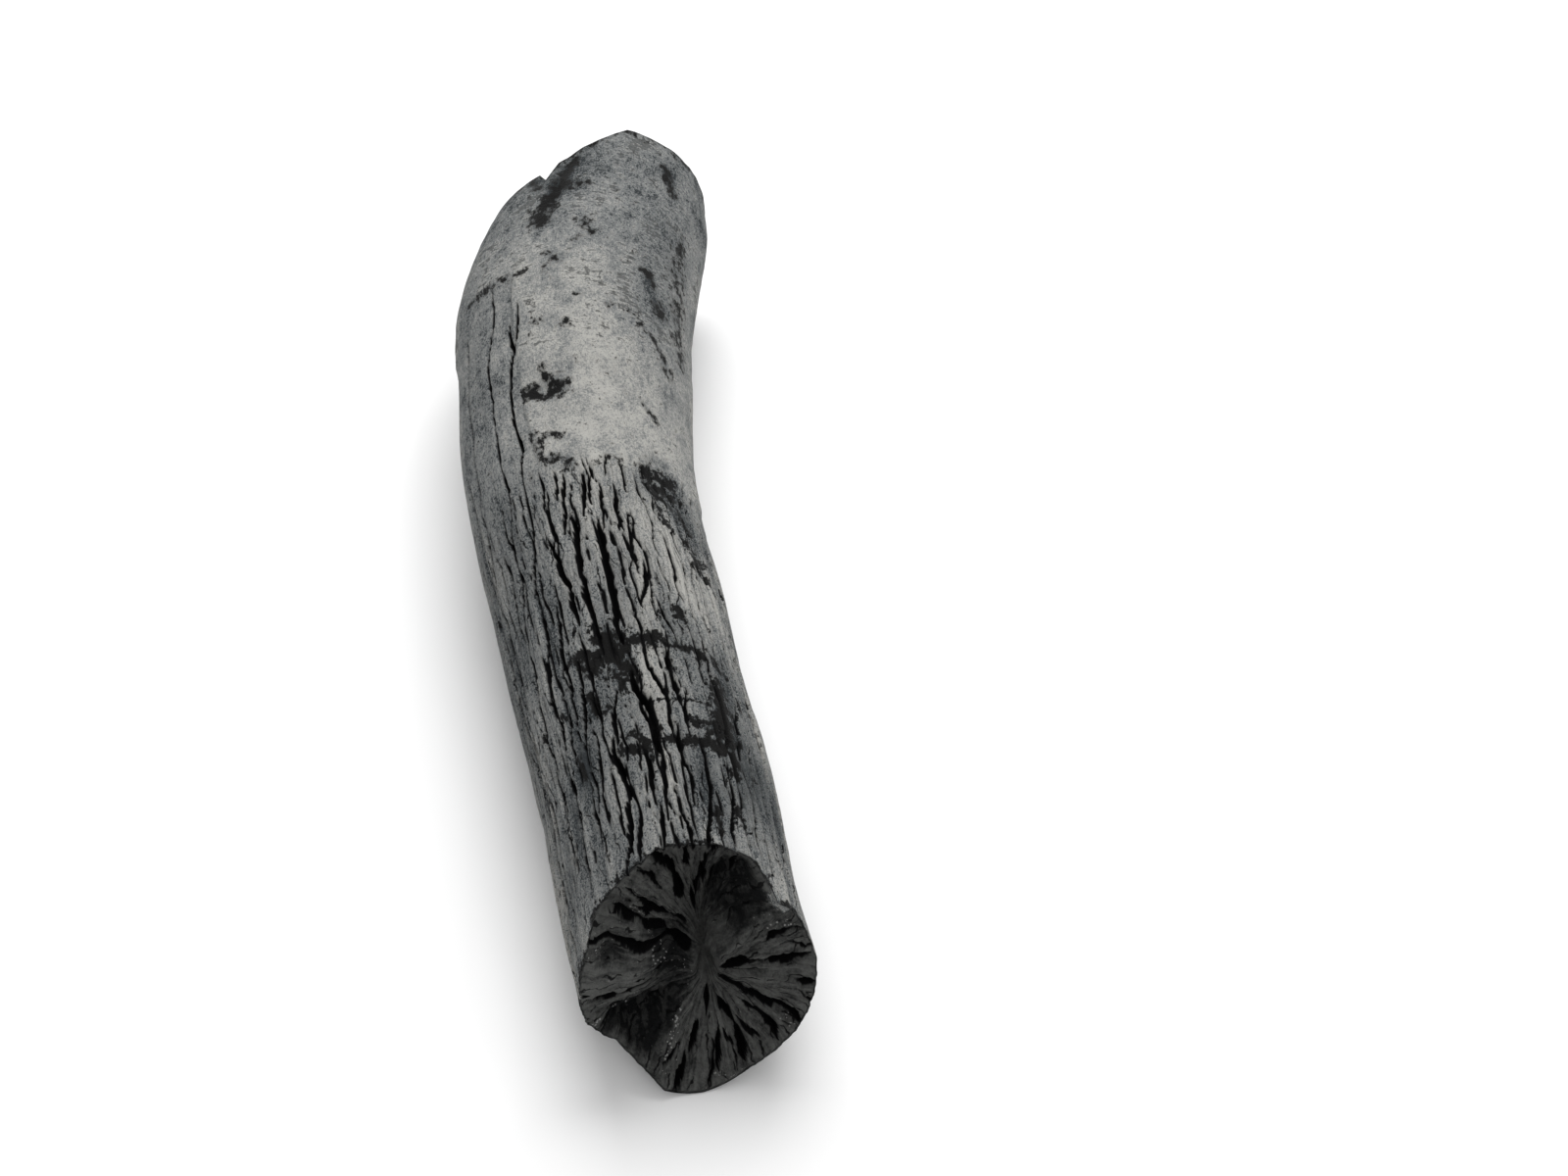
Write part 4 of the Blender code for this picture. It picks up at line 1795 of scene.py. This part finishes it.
    def surface(self, ring: Array, angle: Array) -> Surface:
        """The whole surface, for the rings and columns of a sphere.

        Args:
            ring: each vertex's ring, from 0 at the near pith.
            angle: each vertex's angle.

        Returns:
            The surface.
        """
        first = self.near_rings
        last = first + self.side_spans
        inside = ring < first
        beyond = ring > last
        between = ~(inside | beyond)
        parts = (
            (inside, self.end_face(self.near, ring[inside] / first, angle[inside])),
            (between, self.side((ring[between] - first) / self.side_spans, angle[between])),
            (
                beyond,
                self.end_face(
                    self.far,
                    (last + self.far_rings - ring[beyond]) / self.far_rings,
                    angle[beyond],
                ),
            ),
        )
        whole = {}
        for name in Surface.__dataclass_fields__:
            shape = (len(ring), 3) if name in ("points", "grain_place") else (len(ring),)
            whole[name] = np.zeros(shape)
            for chosen, part in parts:
                whole[name][chosen] = getattr(part, name)
        return Surface(**whole)

    def build(self) -> bpy.types.Object:
        """Builds the mesh from a sphere whose poles become the two piths.

        Returns:
            The piece.
        """
        rings = self.near_rings + self.side_spans + self.far_rings
        sphere = bmesh.new()
        bmesh.ops.create_uvsphere(
            sphere, u_segments=self.columns, v_segments=rings, radius=1.0
        )
        mesh = bpy.data.meshes.new("charcoal_stick")
        sphere.to_mesh(mesh)
        sphere.free()
        count = len(mesh.vertices)
        flat = np.zeros(count * 3, np.float32)
        mesh.vertices.foreach_get("co", flat)
        x, y, z = flat.reshape(-1, 3).T.astype(float)
        ring = np.rint(np.arccos(np.clip(z, -1.0, 1.0)) / math.pi * rings)
        angle = -np.degrees(np.arctan2(y, x))
        surface = self.surface(ring, angle)
        mesh.vertices.foreach_set("co", (surface.points * MM).astype(np.float32).ravel())
        mesh.update()
        mesh.shade_smooth()
        place = mesh.attributes.new("grain_place", "FLOAT_VECTOR", "POINT")
        place.data.foreach_set("vector", surface.grain_place.astype(np.float32).ravel())
        for name in ("crack", "tone", "skin", "soot", "broken", "dust_light_and_shade", "chalk", "proud", "bark"):
            made = mesh.attributes.new(name, "FLOAT", "POINT")
            made.data.foreach_set("value", getattr(surface, name).astype(np.float32))
        self.unwrap(mesh, ring, angle)
        piece = bpy.data.objects.new("charcoal_stick", mesh)
        bpy.context.scene.collection.objects.link(piece)
        return piece

    def unwrap(self, mesh: bpy.types.Mesh, ring: Array, angle: Array) -> None:
        """Lays the side out flat and each end as a disc beside it.

        Args:
            mesh: the fine mesh.
            ring: each vertex's ring.
            angle: each vertex's angle on the sphere.
        """
        corner = np.zeros(len(mesh.loops), np.int32)
        mesh.loops.foreach_get("vertex_index", corner)
        count = np.zeros(len(mesh.polygons), np.int32)
        mesh.polygons.foreach_get("loop_total", count)
        start = np.concatenate([[0], np.cumsum(count)[:-1]])
        ring = ring[corner]
        angle = angle[corner]
        last = self.near_rings + self.side_spans
        nearest = np.repeat(np.minimum.reduceat(ring, start), count)
        furthest = np.repeat(np.maximum.reduceat(ring, start), count)
        low = np.repeat(np.minimum.reduceat(angle, start), count)
        high = np.repeat(np.maximum.reduceat(angle, start), count)
        past = (high - low > 180.0) & (angle < 0.0)
        u = 0.01 + 0.68 * (np.where(past, angle + 360.0, angle) + 180.0) / 361.0
        v = 0.01 + 0.98 * (ring - self.near_rings) / self.side_spans
        turned = np.radians(angle)
        discs = (
            (furthest <= self.near_rings, ring / self.near_rings, 0.84),
            (nearest >= last, (last + self.far_rings - ring) / self.far_rings, 0.50),
        )
        for chosen, reach, middle in discs:
            u = np.where(chosen, 0.85 + 0.145 * reach * np.sin(turned), u)
            v = np.where(chosen, middle + 0.145 * reach * np.cos(turned), v)
        layer = mesh.uv_layers.new(name="OFBake")
        layer.data.foreach_set("uv", np.stack([u, v], axis=-1).astype(np.float32).ravel())

    def dress(self, piece: bpy.types.Object) -> None:
        """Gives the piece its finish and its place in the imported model.

        Args:
            piece: the fine mesh.
        """
        piece.data.materials.append(self.finish.material())
        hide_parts(NODE)
        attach(piece, "root")


@dataclass
class Studio:
    """The plain floor, soft light and camera, in metres."""

    floor_size: float = 8.0
    floor_colour: Colour = (0.96, 0.96, 0.96, 1.0)
    sky: float = 0.49
    eye: tuple[float, float, float] = (0.0310, -0.6402, 0.5940)
    look_down: float = 42.0
    lens: float = 100.0

    def floor(self) -> None:
        """Lays the floor."""
        grid = bmesh.new()
        bmesh.ops.create_grid(grid, x_segments=1, y_segments=1, size=self.floor_size / 2)
        mesh = bpy.data.meshes.new("floor")
        grid.to_mesh(mesh)
        grid.free()
        s = Shader("pale_floor")
        sockets = {"Base Color": self.floor_colour, "Roughness": 0.9}
        surface = s.node("ShaderNodeBsdfPrincipled", {}, sockets)
        mesh.materials.append(s.finish(surface))
        floor = bpy.data.objects.new("floor", mesh)
        bpy.context.scene.collection.objects.link(floor)

    def light(self, name: str, size: float, watts: float, at: tuple, aim: tuple) -> None:
        """Hangs a soft square light.

        Args:
            name: its name.
            size: its side.
            watts: its power.
            at: where it hangs.
            aim: the point that it faces.
        """
        lamp = bpy.data.lights.new(name, "AREA")
        lamp.size = size
        lamp.energy = watts
        held = bpy.data.objects.new(name, lamp)
        held.location = at
        away = held.location - Vector(aim)
        held.rotation_euler = away.to_track_quat("Z", "Y").to_euler()
        bpy.context.scene.collection.objects.link(held)

    def camera(self) -> None:
        """Stands the camera where the photograph was taken from."""
        lens = bpy.data.cameras.new("camera")
        lens.lens = self.lens
        lens.sensor_width = 36.0
        held = bpy.data.objects.new("camera", lens)
        held.location = self.eye
        held.rotation_euler = (math.radians(90.0 - self.look_down), 0.0, 0.0)
        bpy.context.scene.collection.objects.link(held)
        bpy.context.scene.camera = held

    def build(self) -> None:
        """Sets the stage."""
        self.floor()
        self.light("sky_panel", 1.0, 15.5, (0.05, 0.72, 1.10), (0.0, 0.02, 0.0))
        self.light("front_fill", 1.0, 4.5, (0.3, -1.3, 0.9), (0.0, 0.0, 0.0))
        self.camera()
        world = bpy.data.worlds.new("soft_sky")
        world.use_nodes = True
        sky = world.node_tree.nodes["Background"]
        sky.inputs["Color"].default_value = (1.0, 1.0, 1.0, 1.0)
        sky.inputs["Strength"].default_value = self.sky
        bpy.context.scene.world = world
        bpy.context.scene.view_settings.view_transform = "Standard"


def main() -> None:
    """Builds the stick and its stage."""
    logging.basicConfig(level=logging.INFO, format="%(name)s: %(message)s")
    lump = CharcoalLump()
    piece = lump.build()
    lump.dress(piece)
    log.info("%s: %d vertices", piece.name, len(piece.data.vertices))
    Studio().build()
    log.info("floor, lights and camera are in place")


if __name__ == "__main__":
    main()
